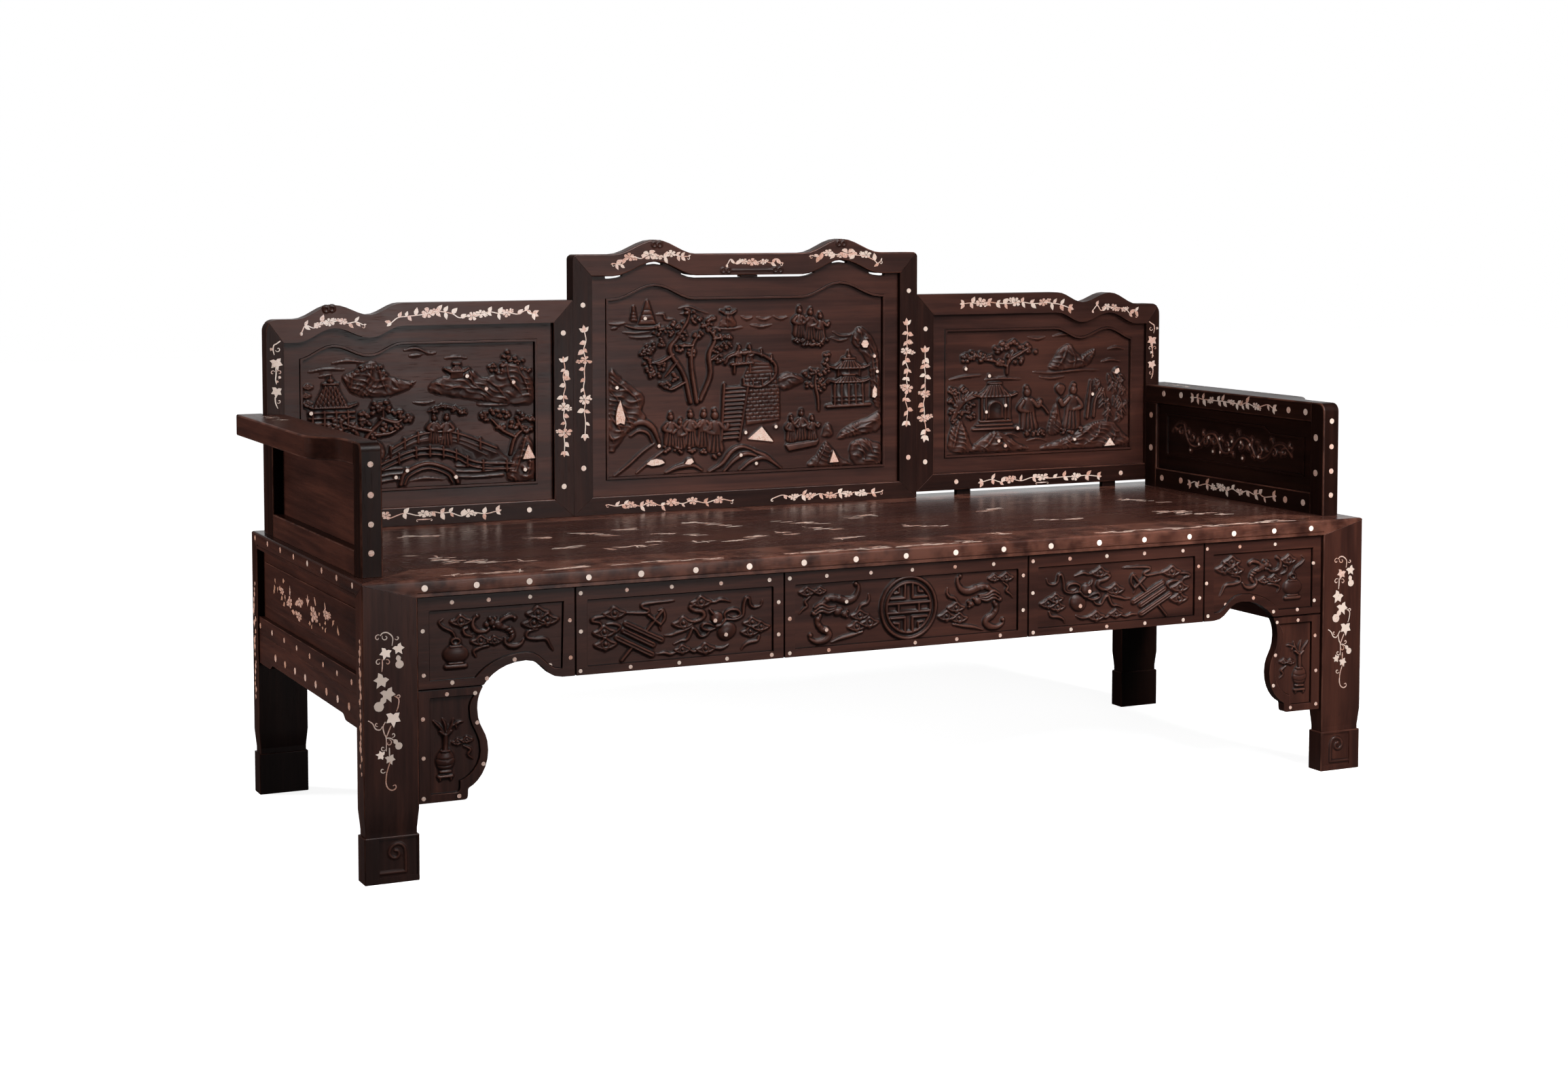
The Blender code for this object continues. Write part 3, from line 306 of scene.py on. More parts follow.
def rosewood(name, grain, roughness, worn=0.0, carved=False, polished=False, deep=0.0, shaded_towards_floor=False):
    """Dark oiled rosewood: long figure, pores along the grain, rubbed where worn or on carved crests;
    painted shade in the carving's hollows and low on the legs, a painted sheen where asked, and darker by
    deep, partly as painted shade.
    """
    if name in bpy.data.materials:
        return bpy.data.materials[name]
    wood = bpy.context.scene.bench_wood
    finish = Finish(name)
    long = [1.0 if axis == grain else 11.0 for axis in "XYZ"]
    fine = [1.0 if axis == grain else 26.0 for axis in "XYZ"]
    figure = finish.noise(2.3, long, detail=6.0, roughness=0.6, distortion=0.7)
    streaks = finish.noise(5.0, fine, detail=4.0, roughness=0.6, distortion=0.2)
    pores = finish.between(finish.noise(34.0, fine), 0.60, 0.76)
    patches = finish.noise(3.4, detail=3.0, roughness=0.55)
    tone = figure * 0.62 + streaks * 0.38
    stops = [(0.30, opaque(wood.dark)), (0.50, opaque(wood.body)), (0.72, opaque(wood.light))]
    colour = finish.node("ShaderNodeValToRGB", {"stops": stops}, {0: tone})
    colour = finish.blend(finish.between(patches, 0.46, 0.74) * 0.45, colour, opaque(wood.light))
    colour = finish.blend(pores * 0.55, colour, opaque(wood.dark))
    rubbed = finish.noise(22.0, detail=3.0, roughness=0.6)
    if carved:
        crest = finish.attribute("wear")
        # Painted shade: where the carving sinks below its smoothed level, and on the skirt round it, the
        # colour goes towards the hollow colour
        colour = finish.blend(finish.between(crest, 0.54, 0.16) * 0.9, colour, opaque(wood.hollow))
        crest = finish.between(crest, 0.52, 0.95) * finish.between(rubbed, 0.30, 0.62)
        colour = finish.blend(crest * 0.45, colour, opaque(wood.worn))
    if worn:
        colour = finish.blend(finish.between(rubbed, 0.34, 0.66) * worn, colour, opaque(wood.worn))
    # Painted sheen: the colour is lightened towards the light grain for the sheen on these pieces, which
    # also get a little more specular
    satin = name.startswith("satin")
    if satin:
        colour = finish.blend(0.3, colour, opaque(wood.light))
    # Deep darkens the colour towards black: a darker tone on some pieces, and painted shade on the rear
    # legs under the seat and on the right arm's shaded inside
    if deep:
        colour = finish.blend(deep, colour, BLACK)
    # Painted shade: the legs darken towards the floor, where less light reaches
    if shaded_towards_floor:
        level = finish.node("ShaderNodeSeparateXYZ", None, {0: finish.place}, "Z")
        colour = finish.blend(finish.between(level, 0.16, 0.05) * 0.55, colour, opaque(wood.hollow))
    gloss = roughness + (patches - 0.5) * 0.22 + (streaks - 0.5) * 0.10 + pores * 0.12
    shine = 0.28 if polished else 0.19 if satin else 0.16 * (1 - 0.7 * deep)
    finish.feed(finish.surface, {"Base Color": colour, "Roughness": gloss, "Specular IOR Level": shine})
    finish.relief(streaks * 0.5 - pores * 0.6 + figure * 0.3, 0.045 if polished else 0.22, 0.0006)
    return finish.material


def shell():
    """Mother-of-pearl: milky, clouded with pink, amber in places, polished."""
    if "mother_of_pearl" in bpy.data.materials:
        return bpy.data.materials["mother_of_pearl"]
    pearl = bpy.context.scene.bench_pearl
    finish = Finish("mother_of_pearl")
    tint = finish.attribute("tint")
    cloud = finish.noise(120.0, detail=3.0, roughness=0.6, distortion=0.8)
    band = finish.noise(420.0, distortion=0.4)
    share = tint * 0.85 + (cloud - 0.5) * 1.1
    colour = finish.blend(finish.between(share, 0.15, 0.95), opaque(pearl.white), opaque(pearl.rose))
    colour = finish.blend(finish.between(band + tint * 0.25, 0.62, 0.86) * 0.8, colour, opaque(pearl.amber))
    colour = finish.blend(finish.between(tint, 0.0, -1.0), colour, opaque(pearl.bright))
    gloss = 0.22 + band * 0.2
    finish.feed(finish.surface, {"Base Color": colour, "Roughness": gloss, "Specular IOR Level": 0.25,
                                 "Coat Weight": 0.1})
    finish.relief(cloud + band * 0.5, 0.12, 0.0004)
    return finish.material


def floor_finish():
    """Seamless white studio floor, lit from below, that throws little light back on the bench."""
    stage = bpy.context.scene.bench_stage
    finish = Finish("studio_floor")
    mottle = finish.noise(1.4)
    seen = finish.node("ShaderNodeLightPath", output="Is Camera Ray")
    paler = tuple(min(1.0, part * 1.02) for part in stage.floor)
    colour = finish.blend(mottle, opaque(stage.floor), opaque(paler))
    colour = finish.blend(seen, opaque(stage.bounce), colour)
    away = finish.node("ShaderNodeVectorMath", {"operation": "LENGTH"}, {0: finish.place}, "Value")
    glow = finish.blend(finish.between(away, 1.2, 2.8), opaque([stage.floor_glow] * 3), WHITE)
    glow = finish.blend(seen, BLACK, glow)
    finish.feed(finish.surface, {"Base Color": colour, "Roughness": 0.7 + mottle * 0.1,
                                 "Specular IOR Level": 0.0, "Emission Color": glow,
                                 "Emission Strength": 1.0})
    return finish.material


# Pieces


def piece_of(name, mesh, *materials):
    """A new object at the origin with its mesh and finishes."""
    piece = bpy.data.objects.new(name, mesh)
    bpy.context.scene.collection.objects.link(piece)
    for material in materials:
        mesh.materials.append(material)
    return piece


def settle(piece):
    """Turns a piece's modifiers into plain mesh."""
    raw = piece.data
    depsgraph = bpy.context.evaluated_depsgraph_get()
    piece.data = bpy.data.meshes.new_from_object(piece.evaluated_get(depsgraph), depsgraph=depsgraph)
    piece.modifiers.clear()
    bpy.data.meshes.remove(raw)
    if not piece.data.polygons:
        raise RuntimeError(piece.name + " came out empty")
    return piece


def hand_over(piece, body, slot, *nodes):
    """Lets a finished piece ride on its body in place of the solids it stands for; the slot is not used."""
    BODY_OF[piece.name] = body
    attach(piece, body)
    if nodes:
        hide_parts(*nodes)


class Solids:
    """All solids as one tree, to find neighbours and carry shell, with the carving where asked."""

    SEAM_REACH = 0.0009
    SEAM_SHARES = (0.1, 0.3, 0.5, 0.7, 0.9)

    def __init__(self, carving=False):
        points, faces, self.owners = [], [], []
        pieces = dict(frame["nodes"])
        if carving:
            carved = (piece for piece in bpy.data.objects if piece.name.startswith("carving_"))
            pieces.update((piece.name, piece) for piece in carved)
        for name, solid in sorted(pieces.items()):
            base = len(points)
            points += [corner.co.copy() for corner in solid.data.vertices]
            faces += [[base + corner for corner in face.vertices] for face in solid.data.polygons]
            self.owners += [name] * len(solid.data.polygons)
        self.tree = BVHTree.FromPolygons(points, faces)

    def is_seam(self, node, start, end):
        """True where most of an edge lies against another solid."""
        near = 0
        for share in self.SEAM_SHARES:
            hits = self.tree.find_nearest_range(start.lerp(end, share), self.SEAM_REACH)
            near += any(self.owners[index] != node for _, _, index, _ in hits)
        return near > len(self.SEAM_SHARES) / 2

    def drop(self, start, direction):
        """Where a straight line from start first meets a solid, and which one."""
        place, _, index, _ = self.tree.ray_cast(start, direction)
        if place is None:
            raise RuntimeError("no solid under the shell at " + str(tuple(start)))
        return place, self.owners[index]


# How edges are rounded: what counts as sharp or flat, and the room an edge needs, in times its width
SHARP, FLAT = math.radians(35), math.radians(0.3)
WELD = 2e-5
ROOM_FOR_EDGE, ROOM_BY_CREVICE, ROOM_FOR_CREVICE = 2.3, 1.35, 2.1
EDGE_SLOT, CREVICE_SLOT = 1, 2
# How rubbed edges differ from the wood beside them, and how much darker some pieces are drawn: DEEP and
# DEEPEST give some pieces a darker tone and give painted shade to the rear legs and the right arm, CREVICE
# is painted shade in the inner corners and the dark of the joints
EDGE_GLOSS, EDGE_WEAR, EDGE_DEPTH = 0.9, 0.8, 0.5
DEEP, DEEPEST, CREVICE = 0.55, 0.7, 0.85


def ease(solids, node, width, joint, finishes, crevice=0.0):
    """Stands a copy of a solid in its place, with its free edges rounded and rubbed, its joints eased and,
    where a crevice is given, its joints dark with old polish and its inner corners dark with painted shade."""
    wood = bpy.context.scene.bench_wood
    shape = bmesh.new()
    shape.from_mesh(frame["nodes"][node].data)
    bmesh.ops.remove_doubles(shape, verts=shape.verts, dist=WELD)
    bmesh.ops.dissolve_limit(shape, angle_limit=FLAT, verts=shape.verts, edges=shape.edges)

    def room(edge):
        start, end = (corner.co for corner in edge.verts)
        reach = []
        for face in edge.link_faces:
            across = face.normal.cross(end - start).normalized()
            reach.append(max(abs((corner.co - start).dot(across)) for corner in face.verts))
        return min(reach)

    def is_turn(edge, convex):
        return len(edge.link_faces) == 2 and edge.is_convex == convex and edge.calc_face_angle(0) > SHARP

    def is_joint(edge):
        return solids.is_seam(node, edge.verts[0].co, edge.verts[1].co)

    def fill(edges, size, spare):
        bmesh.ops.bevel(shape, geom=[edge for edge in edges if room(edge) >= spare * size], offset=size,
                        offset_type="OFFSET", segments=1, profile=0.5, affect="EDGES", clamp_overlap=True,
                        material=CREVICE_SLOT)

    spare = ROOM_FOR_EDGE
    if crevice:
        spare = ROOM_BY_CREVICE
        # Painted shade: the inner corners get a dark strip; the joints below get dark strips
        fill([edge for edge in shape.edges if is_turn(edge, False)], crevice, ROOM_FOR_CREVICE)
        fill([edge for edge in shape.edges if is_turn(edge, True) and is_joint(edge)], joint, spare)
    rounding = shape.edges.layers.float.new("bevel_weight_edge")
    for edge in shape.edges:
        if is_turn(edge, True) and all(face.material_index != CREVICE_SLOT for face in edge.link_faces):
            size = joint if is_joint(edge) else width
            if room(edge) >= spare * size:
                edge[rounding] = size / width
    mesh = bpy.data.meshes.new(node + "_eased")
    shape.to_mesh(mesh)
    shape.free()
    for face in mesh.polygons:
        face.use_smooth = True
    mesh.set_sharp_from_angle(angle=SHARP)
    piece = piece_of(node + "_eased", mesh, *finishes)
    edges = piece.modifiers.new("Rounded edges", "BEVEL")
    edges.limit_method, edges.width, edges.segments = "WEIGHT", width, wood.edge_steps
    edges.material = EDGE_SLOT
    piece.modifiers.new("Even shading", "WEIGHTED_NORMAL").keep_sharp = True
    hand_over(settle(piece), BODY_OF[node], ROSEWOOD, node)


def ease_all(nodes, grain, share=1.0, polished=False, boards=False, deep=0.0, kind="", rub=0.0, field=0.0):
    """Eases like pieces, whose grain runs the same way; boards are rounded at their joints too."""
    wood = bpy.context.scene.bench_wood
    solids = Solids()
    gloss = wood.seat_roughness if polished else wood.roughness
    # Deep pieces get their own finishes, darker partly in tone and partly as painted shade
    kind += "polished_rosewood_" if polished else "deep_rosewood_" if deep else "rosewood_"
    # Pieces whose kind starts with leg get painted shade towards the floor
    shaded_towards_floor = kind.startswith("leg")
    kind = kind.replace("deep", "deepest") if deep > DEEP else kind
    way = grain.lower()
    finishes = [rosewood(kind + way, grain, gloss, rub, polished=polished, deep=deep, shaded_towards_floor=shaded_towards_floor),
                rosewood(kind + "edge_" + way, grain, gloss * EDGE_GLOSS, EDGE_WEAR, polished=polished,
                         deep=EDGE_DEPTH * deep, shaded_towards_floor=shaded_towards_floor)]
    # The crevice finish, near black, is painted shade in the inner corners and the dark of the joints
    if field:
        finishes.append(rosewood(kind + "crevice_" + way, grain, gloss, deep=CREVICE))
    width = wood.edge_width * share
    for node in nodes:
        ease(solids, node, width, width if boards else wood.joint_width, finishes, field * wood.crevice)


def both(*names):
    """Names of the left and right pieces of a pair."""
    return [name + side for name in names for side in ("_left", "_right")]


# Drawing on faces, in millimetres


class Face:
    """A flat face: places on it are measured across and up, and heights stand off it."""

    def __init__(self, origin, across, up):
        self.origin, self.across, self.up = Vector(origin), across, up
        self.out = across.cross(up)

    def points(self, across, up, height):
        """Places in space for arrays of millimetres."""
        steps = np.stack([across, up, height], 1) * MM
        return np.array(self.origin) + steps @ np.array([self.across, self.up, self.out])


def front(depth):
    """An upright face that looks to the front, at a depth."""
    return Face((0, depth, 0), X, Z)


class Spot:
    """Where a motif stands: places in its own units are turned, scaled and shifted."""

    def __init__(self, across, up, size=1.0, turn=0.0, flip=1, squash=1.0):
        self.centre, self.size = np.array((across, up), float), size
        angle = math.radians(turn)
        self.turn = np.array(((math.cos(angle), math.sin(angle)), (-math.sin(angle), math.cos(angle))))
        self.flip, self.squash = np.array((flip, 1.0)), np.array((1.0, squash))

    def __call__(self, *points):
        return self.centre + (np.array(points, float) * self.flip * self.size) @ self.turn * self.squash


def flow(points, closed=False, steps=5):
    """A smooth line through points."""
    knots = np.array(points, float)
    if closed:
        knots = np.vstack([knots[-1], knots, knots[:2]])
    else:
        knots = np.vstack([2 * knots[0] - knots[1], knots, 2 * knots[-1] - knots[-2]])
    line = []
    for one, two, three, four in zip(knots, knots[1:], knots[2:], knots[3:]):
        for share in np.arange(steps) / steps:
            bend = (2 * one - 5 * two + 4 * three - four) * share ** 2
            swing = (3 * two - one - 3 * three + four) * share ** 3
            line.append(two + 0.5 * ((three - one) * share + bend + swing))
    return np.array(line if closed else line + [knots[-2]])


def ring(across, up, radius, start=0, end=360, steps=24, close=1.0, squash=1.0):
    """An arc in degrees round a centre, whose radius shrinks to close times itself at its end."""
    angles = np.radians(np.linspace(start, end, steps))
    reach = radius * np.linspace(1, close, steps)
    return np.stack([across + reach * np.cos(angles), up + squash * reach * np.sin(angles)], 1)


def off_step(across, up, place, step):
    """How far along a step from a place each point lies, from 0 to 1, and how far off it."""
    along = ((across - place[0]) * step[0] + (up - place[1]) * step[1]) / max(step @ step, 1e-9)
    along = np.clip(along, 0, 1)
    return along, np.hypot(across - place[0] - along * step[0], up - place[1] - along * step[1])


class Relief:
    """Carving on a flat field: a grid of heights in millimetres over the field's floor."""

    RISE, SUNK = 0.06, 0.7
    TAPER, THIN_RISE, GROOVE_FLOOR = 0.4, 0.3, 0.25
    BED_RIM, LEAST_BED, BED_RADIUS = 1.2, 1.0, 3.6
    BLUR, BLUR_PASSES = 2, 3
    WEAR_SPAN, DARK_WEAR = 2.2, 0.4
    SKIRT_FROM, SKIRT_RISE, SKIRT_SLOPE = 0.1, 0.07, 0.05

    def __init__(self, low, high, pitch):
        self.across = np.arange(low[0], high[0], pitch / MM)
        self.up = np.arange(low[1], high[1], pitch / MM)
        self.height = np.zeros((len(self.up), len(self.across)))

    def window(self, points, reach):
        """The part of the grid near points: its slices and its places."""
        low, high = points.min(0) - reach, points.max(0) + reach
        columns = slice(*np.searchsorted(self.across, (low[0], high[0])))
        rows = slice(*np.searchsorted(self.up, (low[1], high[1])))
        return (rows, columns), *np.meshgrid(self.across[columns], self.up[rows])

    def lay(self, part, height, onto=False):
        if onto:
            self.height[part] += height
        else:
            self.height[part] = np.maximum(self.height[part], height)

    def profile(self, path, width, start=1.0, end=1.0):
        """A half-round ridge along a path, 1 high, that thins to start and end times its width."""
        path = np.array(path, float)
        lengths = np.linalg.norm(np.diff(path, axis=0), axis=1)
        share = np.concatenate([[0], np.cumsum(lengths)]) / max(lengths.sum(), 1e-6)
        thick = np.minimum(1, start + (1 - start) * share / self.TAPER)
        thick = thick * np.minimum(1, end + (1 - end) * (1 - share) / self.TAPER)
        part, across, up = self.window(path, width)
        best = np.zeros(across.shape)
        for place, step, size, grow in zip(path, np.diff(path, axis=0), thick, np.diff(thick)):
            along, away = off_step(across, up, place, step)
            size = size + grow * along
            rise = np.sqrt(np.clip(1 - (away / (0.5 * width * size)) ** 2, 0, 1))
            best = np.maximum(best, rise * (self.THIN_RISE + (1 - self.THIN_RISE) * size))
        return part, best

    def stroke(self, path, width, height, start=1.0, end=1.0, onto=False):
        part, rise = self.profile(path, width, start, end)
        self.lay(part, rise * height, onto)

    def curve(self, points, width, height, start=1.0, end=1.0, onto=False):
        """A stroke along a smooth line through points."""
        self.stroke(flow(points), width, height, start, end, onto)

    def groove(self, path, width, depth):
        part, rise = self.profile(path, width)
        held = self.height[part]
        cut = np.maximum(held - rise * depth, self.GROOVE_FLOOR)
        self.height[part] = np.where(held > self.RISE, cut, held)

    def dome(self, across, up, wide, tall, height, turn=0, onto=False):
        centre = np.array(((across, up),), float)
        part, far, high = self.window(centre, max(wide, tall))
        angle = math.radians(turn)
        along = (far - across) * math.cos(angle) + (high - up) * math.sin(angle)
        beside = (high - up) * math.cos(angle) - (far - across) * math.sin(angle)
        rise = np.sqrt(np.clip(1 - (along / wide) ** 2 - (beside / tall) ** 2, 0, 1))
        self.lay(part, height * rise, onto)

    def within(self, outline):
        """The part of the grid round an outline, what lies inside it, and how far from it."""
        outline = np.array(outline, float)
        part, across, up = self.window(outline, 1)
        inside = np.zeros(across.shape, bool)
        away = np.full(across.shape, 1e6)
        for place, after in zip(outline, np.roll(outline, -1, 0)):
            step = after - place
            away = np.minimum(away, off_step(across, up, place, step)[1])
            if step[1]:
                crossing = (place[1] > up) != (after[1] > up)
                inside ^= crossing & (across < place[0] + (up - place[1]) * step[0] / step[1])
        return part, inside, away

    def patch(self, outline, height, edge):
        """A raised patch with a rounded edge."""
        part, inside, away = self.within(outline)
        share = np.clip(away / edge, 0, 1)
        self.lay(part, np.where(inside, height * np.sqrt(share * (2 - share)), 0))

    def level(self, outline):
        """A flat bed for a piece of shell, as high as the carving round it."""
        part, inside, away = self.within(outline)
        bed = inside | (away < self.BED_RIM)
        if bed.any():
            top = max(self.height[part][bed].max(), self.LEAST_BED)
            self.height[part] = np.where(bed, top, self.height[part])

    def beds(self, dots):
        """Flat beds for round dots."""
        for across, up in dots:
            self.level(ring(across, up, self.BED_RADIUS, 0, 330, 12))

    def mirrored(self):
        """The same carving on the other side of the bench."""
        other = Relief((0, 0), (0, 0), 1)
        other.across, other.up, other.height = -self.across[::-1], self.up, self.height[:, ::-1]
        return other

    def softened(self):
        """The heights with their detail smoothed away."""
        soft = self.height
        for _ in range(2 * self.BLUR_PASSES):
            rows, steps = len(soft), 2 * self.BLUR + 1
            wide = np.pad(soft, ((self.BLUR, self.BLUR), (0, 0)), mode="edge")
            soft = (sum(wide[shift:shift + rows] for shift in range(steps)) / steps).T
        return soft

    def cut(self, name, face, body, bold=1.0, dark=False):
        """Makes the carving a closed piece that stands on its field's floor, in a shallow hollow."""
        self.height = self.height * bold
        soft = self.softened()
        # Crests above the smoothed carving get a high level, rubbed lighter in the finish; hollows, and the
        # skirt round the carving, get a low level, painted shade in the finish
        wear = np.clip(0.5 + (self.height - soft) / self.WEAR_SPAN, 0, 1)
        # Dark carvings, the knots' cords, get one low level all over: painted shade over the whole cord
        if dark:
            wear = np.full(wear.shape, self.DARK_WEAR)
        skirt = np.where(soft > self.SKIRT_FROM, self.SKIRT_RISE + self.SKIRT_SLOPE * soft, 0)
        self.height = np.maximum(self.height, skirt)
        carved = self.height > self.RISE
        cells = carved[:-1, :-1] | carved[1:, :-1] | carved[:-1, 1:] | carved[1:, 1:]
        used = np.zeros(carved.shape, bool)
        for rows, columns in ((0, 0), (1, 0), (0, 1), (1, 1)):
            used[rows:used.shape[0] - 1 + rows, columns:used.shape[1] - 1 + columns] |= cells
        number = np.full(used.shape, -1)
        count = int(used.sum())
        number[used] = np.arange(count)
        across, up = (grid[used] for grid in np.meshgrid(self.across, self.up))
        top = np.where(carved, self.height, -self.SUNK)[used]
        points = np.vstack([face.points(across, up, top), face.points(across, up, top * 0 - 2 * self.SUNK)])
        low_left, low_right = number[:-1, :-1], number[:-1, 1:]
        high_right, high_left = number[1:, 1:], number[1:, :-1]
        upper = np.stack([low_left, low_right, high_right, high_left], 2)[cells]
        faces = [upper, upper[:, ::-1] + count]
        wide = np.pad(cells, 1)
        sides = (((1, 0), low_left, high_left), ((1, 2), high_right, low_right),
                 ((2, 1), high_left, high_right), ((0, 1), low_right, low_left))
        for (row, column), first, second in sides:
            open_side = cells & ~wide[row:row + cells.shape[0], column:column + cells.shape[1]]
            first, second = first[open_side], second[open_side]
            faces.append(np.stack([first, second, second + count, first + count], 1))
        mesh = bpy.data.meshes.new(name)
        mesh.from_pydata(points.tolist(), [], np.vstack(faces).tolist())
        mesh.attributes.new("wear", "FLOAT", "POINT").data.foreach_set("value", np.tile(wear[used], 2))
        for polygon in mesh.polygons:
            polygon.use_smooth = True
        wood = bpy.context.scene.bench_wood
        piece = piece_of(name, mesh, rosewood("carved_rosewood", "X", wood.roughness, carved=True))
        thin = piece.modifiers.new("Thin out", "DECIMATE")
        thin.ratio = bpy.context.scene.bench_carving.kept
        hand_over(settle(piece), body, ROSEWOOD)


# Carved motifs


def clouds(relief, size, *places):
    """Cloud heads, each a pointed lobe with a raised rim, a crescent and an eye."""
    for across, up in places:
        rim = flow(Spot(across, up, size)(
            (-1, 0), (-0.5, 0.2), (-0.05, 0.56), (0.48, 0.24), (1, 0.02), (0.56, -0.3), (0.24, -0.36),
            (0, -0.52), (-0.28, -0.38), (-0.6, -0.28)), True, 4)
        relief.patch(rim, 1.3, 0.15 * size)
        relief.stroke(np.vstack([rim, rim[:1]]), 0.21 * size, 1.5, onto=True)
        relief.stroke(ring(across, up, 0.34 * size, 150, 385, 12, 0.9), 0.14 * size, 1.1, 0.4, 0.4,
                      onto=True)
        relief.dome(across, up + 0.04 * size, 0.17 * size, 0.17 * size, 2.0, onto=True)


def tail(relief, *points, width=5.0, height=2.3):
    """A wavy cloud tail or ribbon."""
    relief.curve(points, width, height, 0.6, 0.3)


def carve_outer_board(relief):
    """Bat among clouds, with a jar on its stand."""
    relief.dome(-820, 356, 21, 15, 3.6)
    relief.stroke(ring(-820, 376, 7, 0, 360, 16, 1, 0.7), 3.4, 2.4)
    relief.stroke([(-829, 368), (-811, 368)], 4, 3.2)
    relief.stroke([(-836, 336), (-804, 336)], 6.5, 2.6)
    relief.stroke([(-831, 341), (-809, 341)], 4, 2.6)
    tail(relief, (-820, 381), (-826, 392), (-840, 400), (-847, 408), (-840, 414), width=4.2)
    clouds(relief, 17, (-811, 408))
    tail(relief, (-800, 397), (-807, 394), (-804, 386), (-793, 382))
    relief.curve([(-783, 414), (-789, 411), (-792, 402), (-788, 393), (-780, 389), (-770, 389),
                  (-764, 393)], 7.5, 3.0, 0.45, 0.5)
    relief.dome(-784, 414, 3.2, 3.2, 3)
    relief.dome(-759, 402, 7, 6, 3.6)
    relief.dome(-768, 399, 4, 4, 3)
    relief.dome(-749, 398, 9, 7, 3.6, -20)
    for across, up in ((-762, 408), (-754, 408), (-757, 395)):
        relief.dome(across, up, 3, 3, 3.8)
    relief.curve([(-748, 399), (-742, 406), (-731, 410), (-723, 409), (-721, 404)], 7, 3.2, 0.8, 0.5)
    relief.dome(-721, 407, 3.4, 3.4, 3.2)
    relief.curve([(-744, 394), (-734, 391), (-727, 385), (-725, 377), (-730, 371)], 10, 3.0, 0.9, 0.6)
    for up in (391, 385, 379):
        relief.groove([(-742, up - 4), (-722, up + 4)], 2.2, 1.2)
    relief.curve([(-737, 375), (-737, 368), (-731, 363), (-721, 361), (-711, 364), (-706, 371)], 7.5, 3,
                 0.5, 0.45)
    clouds(relief, 19, (-681, 412), (-665, 400), (-688, 396))
    tail(relief, (-682, 386), (-698, 383), (-700, 374), (-685, 370), (-668, 369), (-661, 358), (-655, 349))
    clouds(relief, 16, (-778, 374))
    clouds(relief, 13, (-755, 373))
    tail(relief, (-765, 365), (-777, 364), (-790, 358), (-786, 348))


def carve_inner_board(relief):
    """Clappers and a beribboned gourd among clouds."""
    clouds(relief, 19, (-548, 402), (-566, 372), (-564, 352))
    tail(relief, (-562, 399), (-582, 397), (-587, 392), (-574, 388), (-570, 381))
    tail(relief, (-562, 385), (-549, 385), (-538, 379), (-546, 370))
    tail(relief, (-531, 402), (-510, 400), (-491, 399), (-488, 404), (-498, 408), (-498, 413), (-480, 415),
         (-440, 416), width=4.4)
    for start, end in (((-528, 383), (-465, 352)), ((-532, 372), (-480, 345)), ((-544, 361), (-482, 329))):
        start, end = np.array(start), np.array(end)
        relief.stroke([start, end], 10, 2.4)
        relief.stroke([start + (1, 2.2), end + (1, 2.2)], 4, 3.4)
        relief.stroke([start - (1, 2.2), end - (1, 2.2)], 3.4, 3.0)
    relief.stroke([(-536, 323), (-518, 343)], 4.4, 2.6)
    relief.stroke([(-491, 370), (-463, 401)], 5, 3)
    relief.stroke([(-488, 395), (-467, 378)], 5, 3.2)
    tail(relief, (-470, 401), (-462, 402), (-459, 388), (-468, 375), (-465, 367), width=4)
    clouds(relief, 18, (-393, 410))
    tail(relief, (-378, 409), (-367, 409), (-357, 412), (-338, 407), width=4.4)
    relief.curve([(-404, 408), (-413, 403), (-405, 397), (-391, 394), (-388, 386), (-396, 380),
                  (-407, 378)], 7, 2.6, 0.7, 0.7)
    clouds(relief, 19, (-425, 377))
    tail(relief, (-408, 371), (-420, 366), (-437, 362), (-446, 359), (-459, 359))
    relief.dome(-364, 381, 11, 11, 3.6)
    relief.dome(-346, 358, 17, 14, 3.9, 25)
    tail(relief, (-366, 388), (-372, 390), (-377, 397), width=5, height=3)
    relief.curve([(-366, 368), (-357, 370), (-349, 378)], 5, 3.8)
    loop = [(-348, 377), (-350, 388), (-339, 394), (-326, 392), (-322, 384), (-333, 380), (-343, 384)]
    tail(relief, *loop, width=4.6, height=3)
    tail(relief, (-346, 378), (-330, 377), (-317, 383), (-315, 399), (-311, 411), (-305, 410), (-303, 400),
         (-296, 395), (-284, 397), (-280, 406), width=5, height=2.8)
    tail(relief, (-360, 368), (-377, 362), (-391, 366), (-389, 373), (-378, 372), (-366, 366), width=4.4,
         height=3)
    tail(relief, (-377, 362), (-384, 354), (-395, 353), (-402, 363), (-409, 367), (-414, 357), (-420, 349),
         (-430, 348), (-443, 343), width=5, height=2.8)
    clouds(relief, 14, (-427, 333))
    clouds(relief, 17, (-385, 331))
    tail(relief, (-436, 331), (-448, 327), (-460, 330), (-473, 329), width=4.4)
    tail(relief, (-413, 331), (-406, 328), (-400, 330), width=4.4)
    tail(relief, (-371, 331), (-355, 330), (-342, 335), width=4.4)
    clouds(relief, 16, (-299, 369), (-283, 361), (-303, 354))
    tail(relief, (-286, 346), (-290, 338), (-305, 336), (-315, 331), (-319, 324))


def carve_medallion(relief, across, up):
    """A round longevity sign between two rings."""
    relief.stroke(ring(across, up, 53.5, steps=64), 6, 3.2)
    relief.stroke(ring(across, up, 43.5, steps=64), 5, 2.8)
    for side in (-1, 1):
        relief.stroke([(across - 42, up + side * 8), (across + 42, up + side * 8)], 5.2, 3)
        relief.stroke([(across + side * 20, up - 8), (across + side * 20, up + 8)], 5, 2.8)
        for high in (-1, 1):
            at = Spot(across, up, 1, 0, side)
            relief.stroke(at((7.5, high * 43), (7.5, high * 17), (35, high * 17)), 5, 3)
            relief.stroke(at((19, high * 35), (19, high * 27), (28, high * 26)), 4.2, 2.6)


